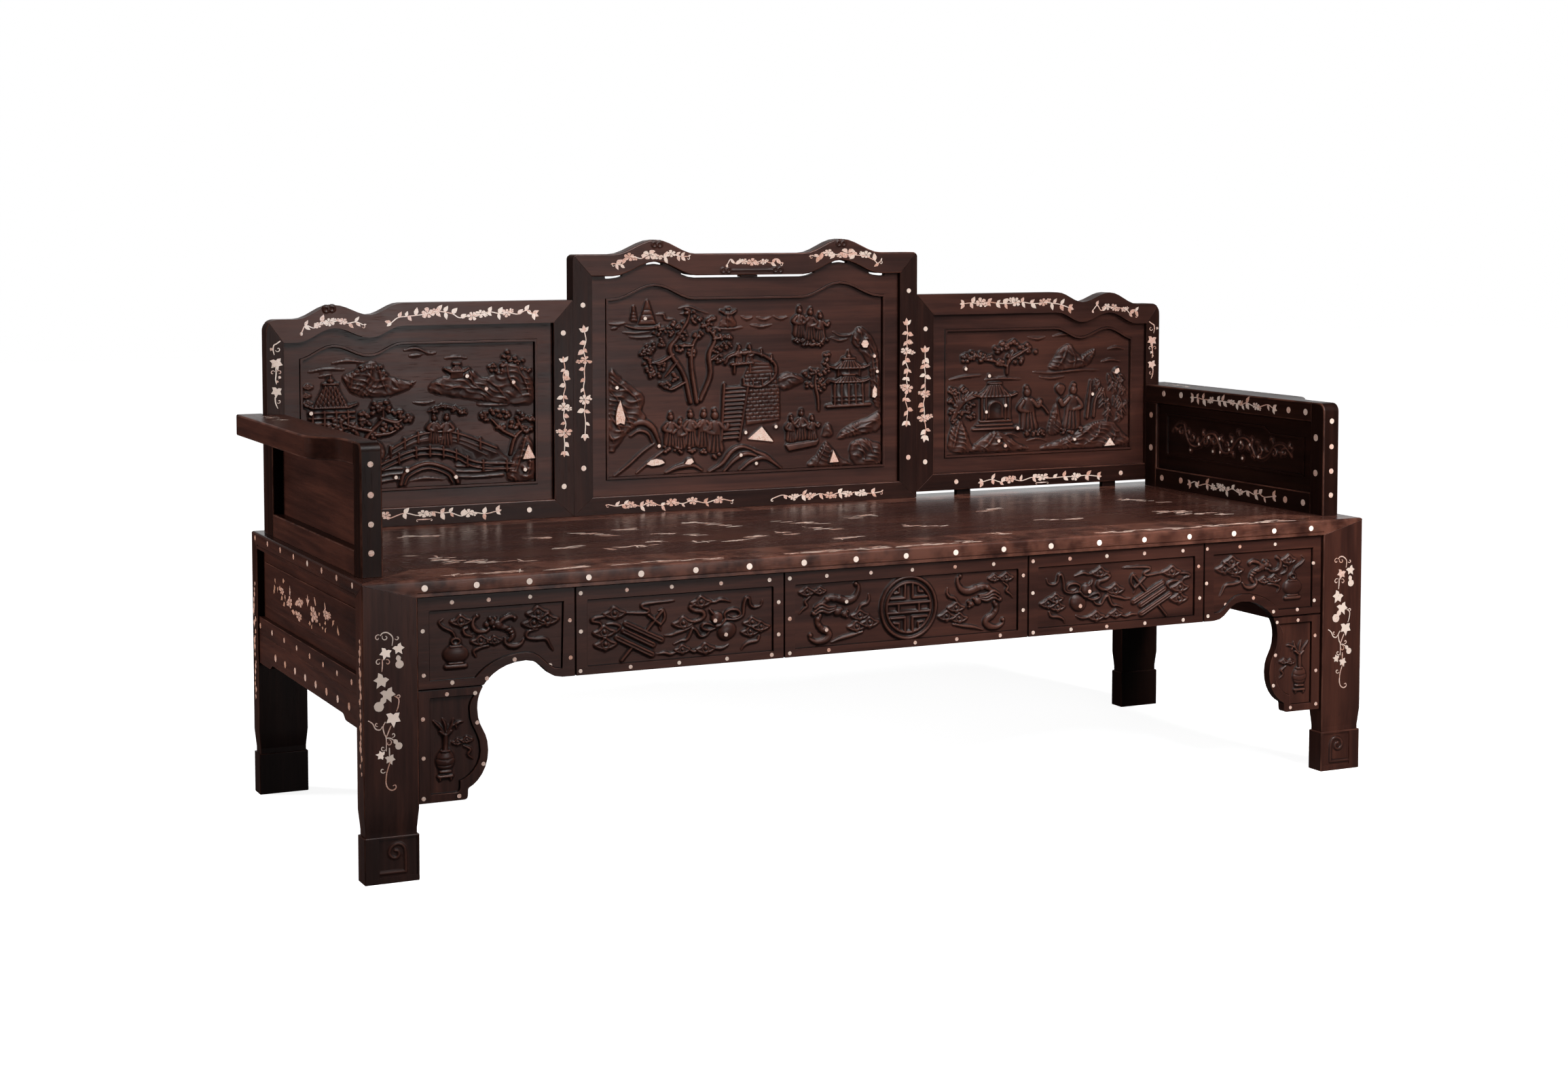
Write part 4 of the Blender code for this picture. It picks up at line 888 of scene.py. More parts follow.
def carve_centre_board(relief):
    """Left half of the centre board: a bat and clouds beside the medallion."""
    relief.curve([(-168, 392), (-152, 401), (-136, 398), (-119, 394), (-106, 398), (-99, 408), (-98, 418),
                  (-104, 423)], 12, 3.2, 0.6, 0.3)
    for across in (-158, -146, -134):
        relief.dome(across, 399, 5.5, 5, 3.4)
    relief.dome(-103, 422, 3.6, 3.6, 3)
    relief.curve([(-172, 372), (-177, 361), (-169, 349), (-158, 343), (-155, 336), (-163, 329), (-178, 327),
                  (-190, 333), (-190, 340)], 11.5, 3.2, 0.7, 0.3)
    for across, up in ((-176, 366), (-174, 355), (-165, 347)):
        relief.dome(across, up, 5, 5, 3.4)
    relief.dome(-190, 339, 3.6, 3.6, 3)
    for shift in (0, 6, 12):
        path = [(-182, 374 + shift), (-170, 380 + shift), (-156, 376 + shift * 0.8),
                (-142, 380 + shift * 0.5)]
        relief.curve(path, 6.4, 3.8, 0.6, 0.6)
    relief.dome(-184, 376, 4, 4, 3.4)
    relief.dome(-138, 376, 8, 6.5, 3.8, 20)
    relief.dome(-125, 371, 6.5, 5, 3.6)
    for across, up in ((-120, 375), (-121, 367), (-131, 380)):
        relief.dome(across, up, 2.8, 2.8, 3.4)
    clouds(relief, 17, (-95, 367), (-101, 348), (-76, 353))
    tail(relief, (-98, 376), (-92, 384), (-82, 387), (-77, 394), (-78, 403), width=5.4)
    tail(relief, (-90, 338), (-109, 334), (-131, 330), (-150, 324), width=6)
    clouds(relief, 15, (-196, 414))
    clouds(relief, 12, (-172, 414))
    tail(relief, (-190, 406), (-200, 398), (-197, 390), (-205, 384), (-211, 377), width=4.6)


def carve_bracket(relief):
    """A vase of coral branches with a small cloud."""
    relief.dome(-839, 186, 15.5, 17, 3.6)
    for up in (180, 190):
        relief.groove(flow([(-854, up), (-839, up - 3), (-824, up)]), 1.8, 0.7)
    relief.stroke([(-847, 168), (-831, 168)], 5, 3)
    relief.stroke([(-850, 160), (-828, 160)], 5, 2.8)
    for across in (-848, -830):
        relief.stroke([(across, 160), (across, 155)], 3.4, 2.4)
    relief.stroke([(-839, 200), (-838, 226)], 8, 3)
    relief.stroke([(-845, 201), (-832, 201)], 4, 3.6)
    relief.curve([(-847, 233), (-838, 227), (-829, 233)], 4.4, 3.2)
    tail(relief, (-841, 231), (-847, 239), (-859, 252), width=4.4)
    tail(relief, (-838, 231), (-839, 243), (-843, 254), width=4.4)
    tail(relief, (-836, 231), (-828, 241), (-825, 253), width=4.4)
    tail(relief, (-829, 240), (-815, 246), (-808, 246), width=4)
    tail(relief, (-822, 243), (-819, 235), width=3.6)
    clouds(relief, 10, (-818, 214), (-803, 216))
    tail(relief, (-808, 207), (-797, 200), (-801, 192), (-792, 184), width=3.6)


def figure(relief, across, up, tall, flip=1, turn=0):
    """A small standing figure in a robe, with a plain round head."""
    at = Spot(across, up, tall, turn, flip)
    robe = flow(at((-0.18, 0), (-0.2, 0.3), (-0.15, 0.58), (-0.06, 0.73), (0.06, 0.73), (0.16, 0.58),
                   (0.17, 0.3), (0.21, 0)), True, 3)
    relief.patch(robe, 3.2, 0.12 * tall)
    relief.curve(at((-0.1, 0.66), (-0.21, 0.5), (-0.03, 0.42)), 0.13 * tall, 4.4, 0.8)
    relief.curve(at((0.1, 0.66), (0.25, 0.52), (0.32, 0.6)), 0.12 * tall, 4.2, 0.8)
    for foot, waist in ((-0.1, -0.05), (0.01, 0.02), (0.12, 0.08)):
        relief.groove(at((waist, 0.38), (foot, 0.01)), 0.05 * tall, 1.5)
    relief.dome(*at((0, 0.84))[0], 0.085 * tall, 0.1 * tall, 4.8)
    relief.dome(*at((-0.01, 0.95))[0], 0.055 * tall, 0.05 * tall, 4.2)
    relief.stroke(at((0.02, 0.86), (0.03, 0.82)), 0.03 * tall, 0.6, onto=True)


def leaves(relief, spots, spread, count, seed, size=3.6):
    """Clusters of small round leaves."""
    chance, height = np.random.default_rng(seed), 4.2
    for across, up in spots:
        for _ in range(count):
            angle, reach = chance.uniform(0, math.tau), spread * math.sqrt(chance.uniform(0, 1))
            wide = size * chance.uniform(0.8, 1.25)
            place = across + reach * math.cos(angle), up + 0.7 * reach * math.sin(angle)
            relief.dome(*place, wide, wide * 0.9, height * chance.uniform(0.75, 1.1))


def crag(relief, outline, height, folds=()):
    """A rock: a lumpy patch with a ragged edge, broken into ledges, with ridges that run down it."""
    edge = 9
    part, inside, away = relief.within(flow(outline, True, 3))
    across, up = np.meshgrid(relief.across[part[1]], relief.up[part[0]])
    bend = 2.4 * np.sin(0.055 * across + 0.05 * up) + 1.5 * np.sin(0.13 * across - 0.07 * up + 1.0)
    lumps = 0.5 + 0.5 * np.sin(0.19 * across - 0.11 * up + 2.0 * np.sin(0.07 * up + 0.03 * across))
    ledges = np.clip(np.sin(0.52 * up + 0.17 * across + bend), 0, 1) ** 1.3
    ragged = 0.8 + 0.8 * np.sin(0.37 * across + 0.45 * up + 2 * bend)
    share = np.where(inside, np.clip((away - ragged) / edge, 0, 1), 0)
    rock = height * (0.65 + 0.35 * lumps) * np.sqrt(share * (2 - share))
    relief.lay(part, rock + 1.7 * ledges * (0.25 + 0.75 * lumps) * share)
    for fold in folds:
        relief.curve(fold, 5.0, 1.2, 0.5, 0.3, onto=True)


def ripples(relief, *lines):
    """Thin lines of water or mist."""
    for line in lines:
        relief.curve(line, 3.2, 1.7, 0.4, 0.4)


def roof(relief, at, half, rise, height):
    """A tiled roof with swept eaves, drawn from the middle of its eaves."""
    outline = at((-half - 6, 3), (-half * 0.75, 4), (-half * 0.45, rise * 0.6), (-half * 0.3, rise),
                 (half * 0.3, rise), (half * 0.45, rise * 0.6), (half * 0.75, 4), (half + 6, 3),
                 (half * 0.9, -3), (-half * 0.9, -3))
    relief.patch(outline, height, 5)
    relief.stroke(at((-half - 6, 4), (-half * 0.8, -1), (half * 0.8, -1), (half + 6, 4)), 4, height + 1)
    for share in np.linspace(-0.8, 0.8, 9):
        relief.groove(at((share * half * 0.4, rise), (share * half, 0)), 2.6, 1.3)
    relief.stroke(at((-half * 0.32, rise), (half * 0.32, rise)), 4.4, height + 1)


def pavilion(relief, across, up, half):
    """A pavilion of two roofs on a platform."""
    at = Spot(across, up)
    relief.stroke(at((-half - 8, 3), (half + 8, 5)), 7, 4)
    relief.patch(at((-half + 6, 6), (half - 6, 6), (half - 8, 48), (-half + 8, 48)), 1.6, 3)
    for share in (-1, -0.5, 0, 0.5, 1):
        relief.stroke(at((share * (half - 8), 6), (share * (half - 9), 48)), 4.4, 3.6)
    for high in (14, 22):
        relief.stroke(at((-half + 6, high), (half - 6, high)), 3, 3)
    roof(relief, Spot(across, up + 52), half, 14, 4)
    relief.patch(at((-half + 14, 64), (half - 14, 64), (half - 16, 80), (-half + 16, 80)), 2.2, 3)
    for share in (-1, 0, 1):
        relief.stroke(at((share * (half - 16), 64), (share * (half - 16), 80)), 4, 3.6)
    roof(relief, Spot(across, up + 80), half, 18, 4.4)
    relief.stroke(at((0, 98), (0, 115)), 4.4, 4, 1.0, 0.4)
    relief.dome(*at((0, 103))[0], 5, 4, 4.6)


def carve_centre_panel(relief):
    """Landscape of the centre back: sages on a terrace, trees, pavilion, boats and rocks."""
    for apex, top, left, right, foot in ((-214, 890, -233, -196, 843), (-243, 880, -249, -234, 849)):
        relief.patch([(left, foot), (apex - 2, top), (apex + 2, top), (right, foot)], 2.6, 5)
        for share in (0.2, 0.4, 0.6):
            level = foot + share * (top - foot)
            relief.groove([(left, level), (right, level)], 2, 1)
    relief.curve([(-258, 841), (-236, 836), (-205, 836), (-188, 842)], 6, 3.2, 0.5, 0.5)
    ripples(relief, [(-266, 829), (-238, 827), (-208, 829)], [(-252, 820), (-225, 818), (-200, 820)],
            [(-294, 846), (-276, 844), (-258, 847)], [(-288, 836), (-276, 838)],
            [(-196, 862), (-180, 862), (-176, 853), (-158, 852)],
            [(-150, 872), (-128, 876), (-104, 868), (-84, 862)], [(-146, 862), (-118, 864), (-98, 856)])
    crag(relief, [(-62, 836), (-50, 862), (-43, 872), (-36, 862), (-24, 836)], 2.4,
         [[(-43, 870), (-46, 840)]])
    roof(relief, Spot(-43, 862), 10, 8, 3)
    ripples(relief, [(-76, 834), (-43, 831), (-8, 834)], [(-16, 856), (-4, 850), (12, 853)],
            [(18, 853), (34, 848), (50, 852)], [(54, 855), (70, 849), (88, 853)],
            [(4, 838), (28, 834), (54, 838)])
    for standing in ((112, 812, 62, 1), (136, 806, 64, -1), (158, 803, 58, 1)):
        figure(relief, *standing)
    leaves(relief, [(108, 803), (124, 800), (140, 798), (156, 798), (168, 803)], 8, 6, 3)
    ripples(relief, [(184, 822), (206, 812), (236, 815)], [(180, 810), (200, 803), (222, 806)])
    crag(relief, [(228, 800), (238, 824), (252, 828), (272, 812), (286, 786), (293, 735), (293, 668),
                  (280, 672), (272, 706), (266, 752), (244, 782)], 3,
         [[(246, 824), (256, 800), (274, 772), (280, 720), (284, 676)],
          [(262, 812), (284, 762), (288, 700)], [(236, 806), (250, 790)]])
    pavilion(relief, 222, 668, 40)
    tail(relief, (155, 664), (153, 690), (147, 716), (150, 742), width=6, height=4)
    leaves(relief,
           [(132, 736), (146, 744), (160, 738), (170, 722), (152, 722), (136, 716), (160, 708), (172, 742)],
           10, 6, 5)
    leaves(relief, [(172, 775), (172, 765), (171, 755)], 5, 4, 6)
    terrace = [(-4, 640), (69, 648), (68, 716), (58, 742), (46, 762), (8, 772), (-8, 738), (-12, 700)]
    relief.patch(terrace, 2.2, 6)
    for level in np.arange(650, 764, 7.5):
        relief.groove([(-20, level), (74, level + 3)], 2, 0.9)
    for row, level in enumerate(np.arange(650, 740, 7.5)):
        for across in np.arange(-8 + 6 * (row % 2), 70, 13):
            relief.groove([(across, level), (across, level + 7)], 1.8, 0.8)
    relief.curve([(-10, 720), (26, 716), (54, 732), (60, 752), (46, 770), (8, 784), (-38, 778), (-50, 764)],
                 6.4, 4.4)
    for across, up in ((-10, 724), (10, 721), (30, 722), (48, 732), (58, 748), (50, 768), (28, 780),
                       (4, 786), (-22, 784)):
        relief.stroke([(across, up - 4), (across, up + 9)], 4.2, 5, 1, 0.7)
    for share in np.linspace(0, 1, 13):
        relief.stroke([(-49 - 5 * share, 714 - 98 * share), (-2 - 21 * share, 715 - 98 * share)], 5,
                      2.6 + 0.5 * share)
    relief.stroke([(-52, 722), (-58, 612)], 5.4, 3.6)
    relief.stroke([(0, 722), (-20, 612)], 5.4, 3.8)
    relief.stroke([(-36, 761), (10, 763)], 6, 4.6)
    for across in (-30, 4):
        relief.stroke([(across, 760), (across, 744)], 4, 3.8)
    figure(relief, -20, 760, 40)
    figure(relief, 2, 760, 40, -1)
    crag(relief, [(66, 733), (92, 742), (124, 726), (100, 712), (70, 708)], 2.6,
         [[(74, 730), (98, 734), (116, 725)]])
    for trunk in ([(-124, 690), (-138, 743), (-167, 790), (-152, 816), (-130, 848), (-126, 866)],
                  [(-111, 690), (-122, 760), (-119, 800), (-102, 826)],
                  [(-103, 694), (-82, 741), (-84, 781), (-72, 814), (-98, 842)],
                  [(-160, 784), (-186, 770), (-206, 768)], [(-152, 770), (-178, 740)],
                  [(-119, 800), (-146, 800)], [(-82, 770), (-62, 782)], [(-74, 812), (-50, 816)],
                  [(-134, 730), (-164, 716), (-176, 722)]):
        thick = 9 if trunk[0][1] < 700 else 5.5
        relief.curve(trunk, thick, 4.6, 1.0, 0.4)
    crowns = [(-214, 771), (-199, 744), (-177, 724), (-206, 798), (-188, 807), (-170, 828), (-146, 797),
              (-124, 786), (-106, 820), (-87, 835), (-66, 822), (-49, 814), (-68, 790), (-62, 772),
              (-109, 850), (-76, 846), (-127, 866), (-150, 842), (-190, 830), (-216, 786), (-186, 760),
              (-160, 738), (-140, 820), (-204, 756), (-46, 800)]
    leaves(relief, crowns, 12, 9, 8)
    crag(relief, [(-296, 752), (-262, 736), (-234, 716), (-220, 702), (-226, 678), (-218, 658), (-256, 634),
                  (-296, 600)], 2.6,
         [[(-292, 744), (-262, 722), (-238, 700), (-232, 680)],
          [(-294, 720), (-272, 694), (-256, 664), (-246, 644)], [(-294, 672), (-276, 648), (-268, 634)],
          [(-294, 634), (-284, 616)]])
    relief.curve([(-262, 636), (-246, 650), (-222, 654), (-202, 640), (-190, 614)], 12, 3.6, 0.5, 0.5)
    relief.curve([(-250, 628), (-232, 638), (-214, 632), (-204, 614)], 6, 3, 0.5, 0.5)
    relief.curve([(-200, 612), (-226, 596), (-258, 570), (-284, 552)], 5, 2.4, 0.6, 0.6)
    relief.curve([(-176, 600), (-206, 580), (-238, 556)], 4, 2, 0.6, 0.6)
    for standing in ((-166, 606, 66, 1), (-146, 600, 60, -1), (-124, 604, 72, 1), (-96, 602, 74, -1),
                     (-72, 590, 86, 1)):
        figure(relief, *standing)
    leaves(relief, [(-176, 600), (-150, 596), (-122, 597), (-94, 594), (-70, 584)], 8, 5, 9)
    relief.patch([(80, 598), (156, 606), (150, 594), (88, 585)], 3, 3)
    for standing in ((94, 604, 54, 1), (116, 607, 62, -1), (140, 606, 50, 1)):
        figure(relief, *standing)
    crag(relief, [(162, 612), (172, 636), (182, 634), (188, 612)], 3)
    for wave in ([(-84, 552), (-58, 566), (-36, 590), (-14, 598), (14, 590)],
                 [(-52, 552), (-28, 574), (-2, 584), (30, 574)],
                 [(-18, 552), (8, 570), (38, 574), (72, 552)], [(10, 590), (40, 576), (60, 560)],
                 [(-100, 556), (-120, 566), (-150, 564), (-176, 554)]):
        relief.curve(wave, 9, 3.6, 0.5, 0.4)
    crag(relief, [(132, 552), (150, 574), (172, 602), (186, 586), (206, 566), (228, 552)], 2.8,
         [[(172, 598), (158, 572), (150, 556)], [(176, 592), (192, 566)]])
    crag(relief, [(224, 586), (240, 602), (258, 604), (276, 598), (295, 590), (295, 552), (236, 552)], 3,
         [[(244, 598), (256, 574), (258, 556)], [(268, 596), (278, 570)]])
    crag(relief,
         [(196, 606), (214, 626), (236, 636), (266, 646), (292, 656), (294, 622), (262, 614), (226, 608)],
         2.8, [[(206, 612), (236, 622), (268, 634), (290, 644)]])


def carve_left_panel(relief):
    """Landscape of the left back: a bridge with walkers, pines, islets and a summer house."""
    ripples(relief, [(-700, 804), (-676, 808), (-652, 798), (-636, 799)], [(-690, 794), (-664, 796)],
            [(-622, 788), (-598, 790), (-576, 787)], [(-836, 784), (-806, 788), (-774, 784)],
            [(-880, 769), (-846, 774), (-810, 772)], [(-860, 760), (-836, 764)],
            [(-730, 745), (-700, 742), (-676, 746)], [(-684, 708), (-660, 706), (-640, 709)],
            [(-560, 700), (-530, 698), (-498, 698)], [(-470, 706), (-450, 704)])
    crag(relief, [(-816, 757), (-796, 768), (-772, 782), (-754, 785), (-736, 764), (-712, 752), (-682, 745),
                  (-700, 728), (-744, 720), (-794, 726)], 2.6,
         [[(-760, 782), (-766, 756), (-784, 736)], [(-748, 778), (-742, 750), (-732, 728)],
          [(-798, 762), (-800, 740)], [(-722, 750), (-708, 734)]])
    leaves(relief, [(-792, 764), (-778, 772), (-768, 762), (-750, 774), (-738, 758)], 8, 5, 11, 3.2)
    crag(relief, [(-650, 726), (-640, 748), (-606, 756), (-572, 766), (-548, 750), (-526, 756), (-500, 778),
                  (-470, 770), (-448, 740), (-448, 700), (-498, 698), (-580, 712)], 2.6,
         [[(-640, 742), (-600, 734), (-560, 730)], [(-572, 762), (-566, 740), (-540, 722)],
          [(-500, 774), (-494, 746), (-470, 716)], [(-478, 766), (-462, 736), (-454, 708)],
          [(-540, 746), (-516, 728), (-500, 706)]])
    roof(relief, Spot(-598, 764), 17, 13, 3.6)
    relief.patch([(-610, 750), (-586, 750), (-586, 764), (-610, 764)], 2.8, 2)
    leaves(relief,
           [(-526, 768), (-518, 760), (-500, 790), (-490, 782), (-508, 776), (-476, 778), (-462, 762)], 9,
           6, 12, 3.2)
    roof(relief, Spot(-838, 704), 42, 42, 3.4)
    for step in np.arange(-50, 60, 9):
        relief.groove([(-838 + step, 704), (-838 + step + 34, 748)], 1.8, 0.9)
        relief.groove([(-838 + step, 704), (-838 + step - 34, 748)], 1.8, 0.9)
    relief.stroke([(-838, 746), (-838, 762)], 5, 4, 1, 0.4)
    relief.dome(-838, 752, 6, 4, 4.4)
    for level in (694, 684, 674, 664):
        relief.stroke([(-878, level), (-794, level)], 4, 2.6)
    for across in (-872, -850, -828, -806):
        relief.stroke([(across, 696), (across, 664)], 4.4, 3.4)
    clouds(relief, 9, (-880, 742), (-884, 726), (-880, 712))
    ripples(relief, [(-882, 652), (-850, 648), (-820, 652)], [(-880, 640), (-858, 636), (-838, 638)])
    for trunk in ([(-776, 640), (-764, 656), (-742, 678), (-740, 698)],
                  [(-764, 658), (-790, 664), (-818, 674)], [(-744, 680), (-716, 672), (-700, 680)],
                  [(-756, 650), (-730, 652), (-714, 658)]):
        relief.curve(trunk, 7, 4.4, 1, 0.4)
    pine = [(-756, 700), (-740, 704), (-722, 694), (-703, 686), (-717, 662), (-735, 664), (-811, 680),
            (-834, 674), (-822, 666), (-790, 668), (-776, 672), (-757, 648), (-798, 656), (-772, 688),
            (-690, 676), (-846, 664)]
    leaves(relief, pine, 12, 8, 13, 4.0)
    relief.curve([(-652, 690), (-628, 698), (-604, 694), (-580, 684)], 6, 3.6, 0.5, 0.5)
    leaves(relief, [(-640, 692), (-622, 698), (-604, 694), (-588, 686)], 7, 5, 14, 3.2)
    far = flow([(-726, 622), (-682, 644), (-641, 651), (-597, 647), (-522, 617)])
    near = flow([(-748, 594), (-688, 617), (-643, 620), (-601, 611), (-561, 592), (-486, 586)])
    deck = [(-736, 606), (-690, 630), (-641, 637), (-597, 630), (-540, 604)]
    relief.patch(np.vstack([far, near[::-1]]), 1.6, 6)
    for rail, rise in ((far, 3.4), (near, 4.6)):
        relief.stroke(rail, 4.6, rise)
        relief.stroke(rail - (0, 10), 3.6, rise - 0.8)
        for place in rail[::3]:
            relief.stroke([place - (0, 14), place + (0, 5)], 4.4, rise + 0.4)
    relief.curve(deck, 3, 2.6)
    figure(relief, -643, 630, 56)
    figure(relief, -619, 626, 60, -1)
    relief.curve([(-708, 556), (-698, 578), (-656, 593), (-612, 578), (-598, 556)], 7, 4.2)
    relief.curve([(-700, 556), (-690, 572), (-656, 584), (-620, 572), (-608, 556)], 3.4, 3)
    for level in (586, 576, 566):
        relief.curve([(-752, level - 4), (-724, level), (-704, level)], 3, 2.2)
        relief.curve([(-600, level), (-560, level - 2), (-508, level)], 3, 2.2)
    ripples(relief, [(-690, 562), (-660, 566), (-622, 562)], [(-800, 604), (-776, 608), (-756, 602)],
            [(-840, 612), (-812, 616)], [(-880, 600), (-850, 596), (-820, 600)],
            [(-870, 580), (-830, 576), (-790, 580)], [(-884, 620), (-866, 624)])
    crag(relief, [(-786, 610), (-772, 636), (-752, 642), (-736, 620), (-746, 602)], 3,
         [[(-762, 638), (-764, 614)]])
    for trunk in ([(-494, 604), (-484, 636), (-462, 654)], [(-484, 636), (-510, 650), (-532, 672)],
                  [(-470, 650), (-482, 672)]):
        relief.curve(trunk, 6, 4.2, 1, 0.4)
    leaves(relief, [(-540, 677), (-522, 684), (-507, 680), (-474, 675), (-452, 668), (-511, 657),
                    (-488, 660), (-460, 650)], 11, 8, 15, 3.8)
    crag(relief, [(-500, 556), (-494, 590), (-478, 612), (-462, 640), (-448, 616), (-447, 556)], 3,
         [[(-464, 634), (-472, 604), (-484, 570)], [(-456, 620), (-456, 580), (-462, 560)]])


def carve_right_panel(relief):
    """Landscape of the right back: two scholars before a garden hut, trees and hills."""
    for trunk in ([(590, 726), (592, 748), (606, 772)], [(590, 740), (560, 752), (520, 758)],
                  [(600, 756), (640, 776)]):
        relief.curve(trunk, 6, 4, 1, 0.4)
    leaves(relief, [(494, 760), (512, 764), (530, 760), (546, 762), (566, 776), (586, 782), (608, 784),
                    (630, 780), (650, 772), (574, 752), (598, 756), (620, 752)], 12, 8, 21, 4.2)
    crag(relief, [(694, 730), (706, 756), (720, 774), (742, 784), (758, 768), (772, 758), (790, 766),
                  (806, 772), (800, 752), (776, 734)], 2.6,
         [[(738, 780), (728, 756), (712, 736)], [(746, 776), (756, 752), (752, 734)],
          [(796, 766), (778, 756), (772, 740)]])
    ripples(relief, [(652, 727), (700, 724), (760, 728), (816, 727)], [(536, 714), (580, 716), (628, 713)],
            [(452, 716), (490, 722), (532, 724)], [(668, 716), (700, 713), (732, 716)],
            [(820, 744), (846, 748), (870, 744)], [(700, 800), (736, 804), (770, 799)],
            [(640, 800), (664, 796), (684, 800)], [(836, 770), (858, 774), (880, 770)])
    roof(relief, Spot(562, 680), 46, 26, 3.6)
    relief.patch([(528, 632), (598, 632), (598, 678), (528, 678)], 2.2, 3)
    relief.curve([(546, 636), (548, 660), (562, 668), (577, 660), (578, 636)], 4.6, 4)
    for across in (530, 540, 586, 597):
        relief.stroke([(across, 632), (across, 676)], 4.2, 3.8)
    for level in (628, 620, 612):
        relief.stroke([(526 - (628 - level), level), (600 + (628 - level) * 0.4, level)], 4.6, 3.2)
    for share in np.linspace(0, 1, 9):
        fan = [(458 + 8 * share, 632 + 5 * share), (470 + 20 * share, 664 + 6 * share),
               (458 + 84 * share, 694 - 8 * share)]
        relief.curve(fan, 5, 3.4, 0.6, 0.4)
    leaves(relief, [(460, 694), (472, 686), (486, 694), (460, 672), (474, 664), (490, 674), (462, 650),
                    (478, 644), (494, 652), (506, 640), (464, 630), (504, 662)], 9, 7, 24, 3.4)
    crag(relief, [(454, 570), (456, 610), (478, 634), (494, 612), (504, 588), (508, 566)], 3,
         [[(478, 630), (470, 604), (464, 576)], [(484, 622), (496, 584)]])
    crag(relief, [(506, 566), (530, 590), (564, 608), (596, 594), (622, 578), (644, 566)], 2.6,
         [[(564, 604), (548, 582), (530, 570)], [(570, 600), (596, 576)]])
    figure(relief, 645, 606, 94, turn=4)
    figure(relief, 748, 606, 96, -1, -3)
    relief.curve([(664, 664), (680, 652), (690, 640)], 5, 4)
    relief.patch(flow([(722, 676), (708, 690), (716, 700), (732, 694)], True, 3), 3.6, 4)
    leaves(relief, [(622, 608), (640, 602), (660, 598), (676, 600), (728, 602), (748, 598), (768, 602)], 8,
           6, 22, 3.6)
    crag(relief, [(690, 596), (700, 640), (712, 660), (722, 630), (724, 600)], 2.8,
         [[(710, 652), (706, 616)]])
    for trunk in ([(786, 628), (790, 660), (796, 706)], [(802, 630), (806, 664), (822, 690)]):
        relief.curve(trunk, 6.4, 4.2, 1, 0.5)
    chance = np.random.default_rng(23)
    for across, up in ((826, 682), (850, 696), (874, 690), (834, 660), (862, 664), (880, 652), (838, 638),
                       (866, 634), (812, 700), (846, 716), (868, 708)):
        for _ in range(9):
            angle = chance.uniform(-0.9, 0.9) - math.pi / 2
            start = np.array((across, up)) + chance.uniform(-8, 8, 2)
            end = start + 15 * np.array((math.cos(angle), math.sin(angle)))
            end[0] = min(end[0], 886)
            relief.stroke([start, end], 5, 4, 0.5, 0.3)
    crag(relief, [(672, 564), (720, 582), (764, 600), (802, 616), (848, 618), (872, 596), (888, 566)], 2.6,
         [[(802, 612), (770, 590), (724, 572)], [(820, 612), (812, 590), (780, 570)],
          [(846, 614), (856, 592), (850, 570)], [(866, 600), (876, 580)]])
    ripples(relief, [(572, 596), (600, 600), (622, 592)], [(640, 584), (664, 588), (690, 582)])


def carve_arm(relief):
    """An S-scroll vine with leaf curls along the arm's panel; measured from the rear towards the front."""
    stem = [(-212, 600), (-190, 618), (-168, 618), (-160, 598), (-146, 580), (-124, 576), (-104, 588),
            (-84, 604), (-60, 606), (-46, 592), (-34, 574), (-14, 572), (4, 588), (24, 604), (48, 606),
            (66, 592), (80, 574), (104, 572), (124, 584), (142, 600), (166, 604), (186, 592), (196, 582)]
    relief.curve(stem, 4.6, 3.4, 0.5, 0.4)
    for across, up, radius, start, end in ((-176, 604, 9, 90, 420), (-138, 594, 9, 200, 560),
                                           (-92, 590, 9, 60, -260), (-58, 592, 9, 120, 440),
                                           (-18, 588, 10, 250, 590), (28, 590, 10, 80, -240),
                                           (64, 606, 8, 200, 520), (92, 588, 10, 260, 600),
                                           (140, 586, 9, 90, -240), (172, 590, 8, 70, 400)):
        relief.stroke(ring(across, up, radius, start, end, 22, 0.3), 4, 3.2, 0.8, 0.6)
    chance = np.random.default_rng(31)
    for across, up in ((-196, 608), (-154, 606), (-120, 590), (-76, 596), (-38, 600), (0, 574), (20, 618),
                       (52, 590), (84, 602), (112, 590), (130, 612), (158, 588), (188, 604), (-100, 606),
                       (-4, 606), (70, 576)):
        turn = chance.uniform(0, 360)
        relief.dome(across, up, 7, 3.2, 3.2, turn)
        relief.dome(across + 4, up - 3, 6, 2.8, 2.8, turn + 70)


def carve_foot(relief):
    """A key scroll that rises from a bar and curls in on itself, on the left front foot."""
    relief.curve([(-908, 17), (-908, 36), (-909, 52), (-914, 60), (-922, 62), (-931, 58), (-935, 49),
                  (-931, 42), (-924, 40), (-919, 44), (-920, 50), (-925, 52)], 4.6, 1.4)
    relief.stroke([(-950, 17), (-908, 17)], 4.6, 1.3)


# Mother-of-pearl


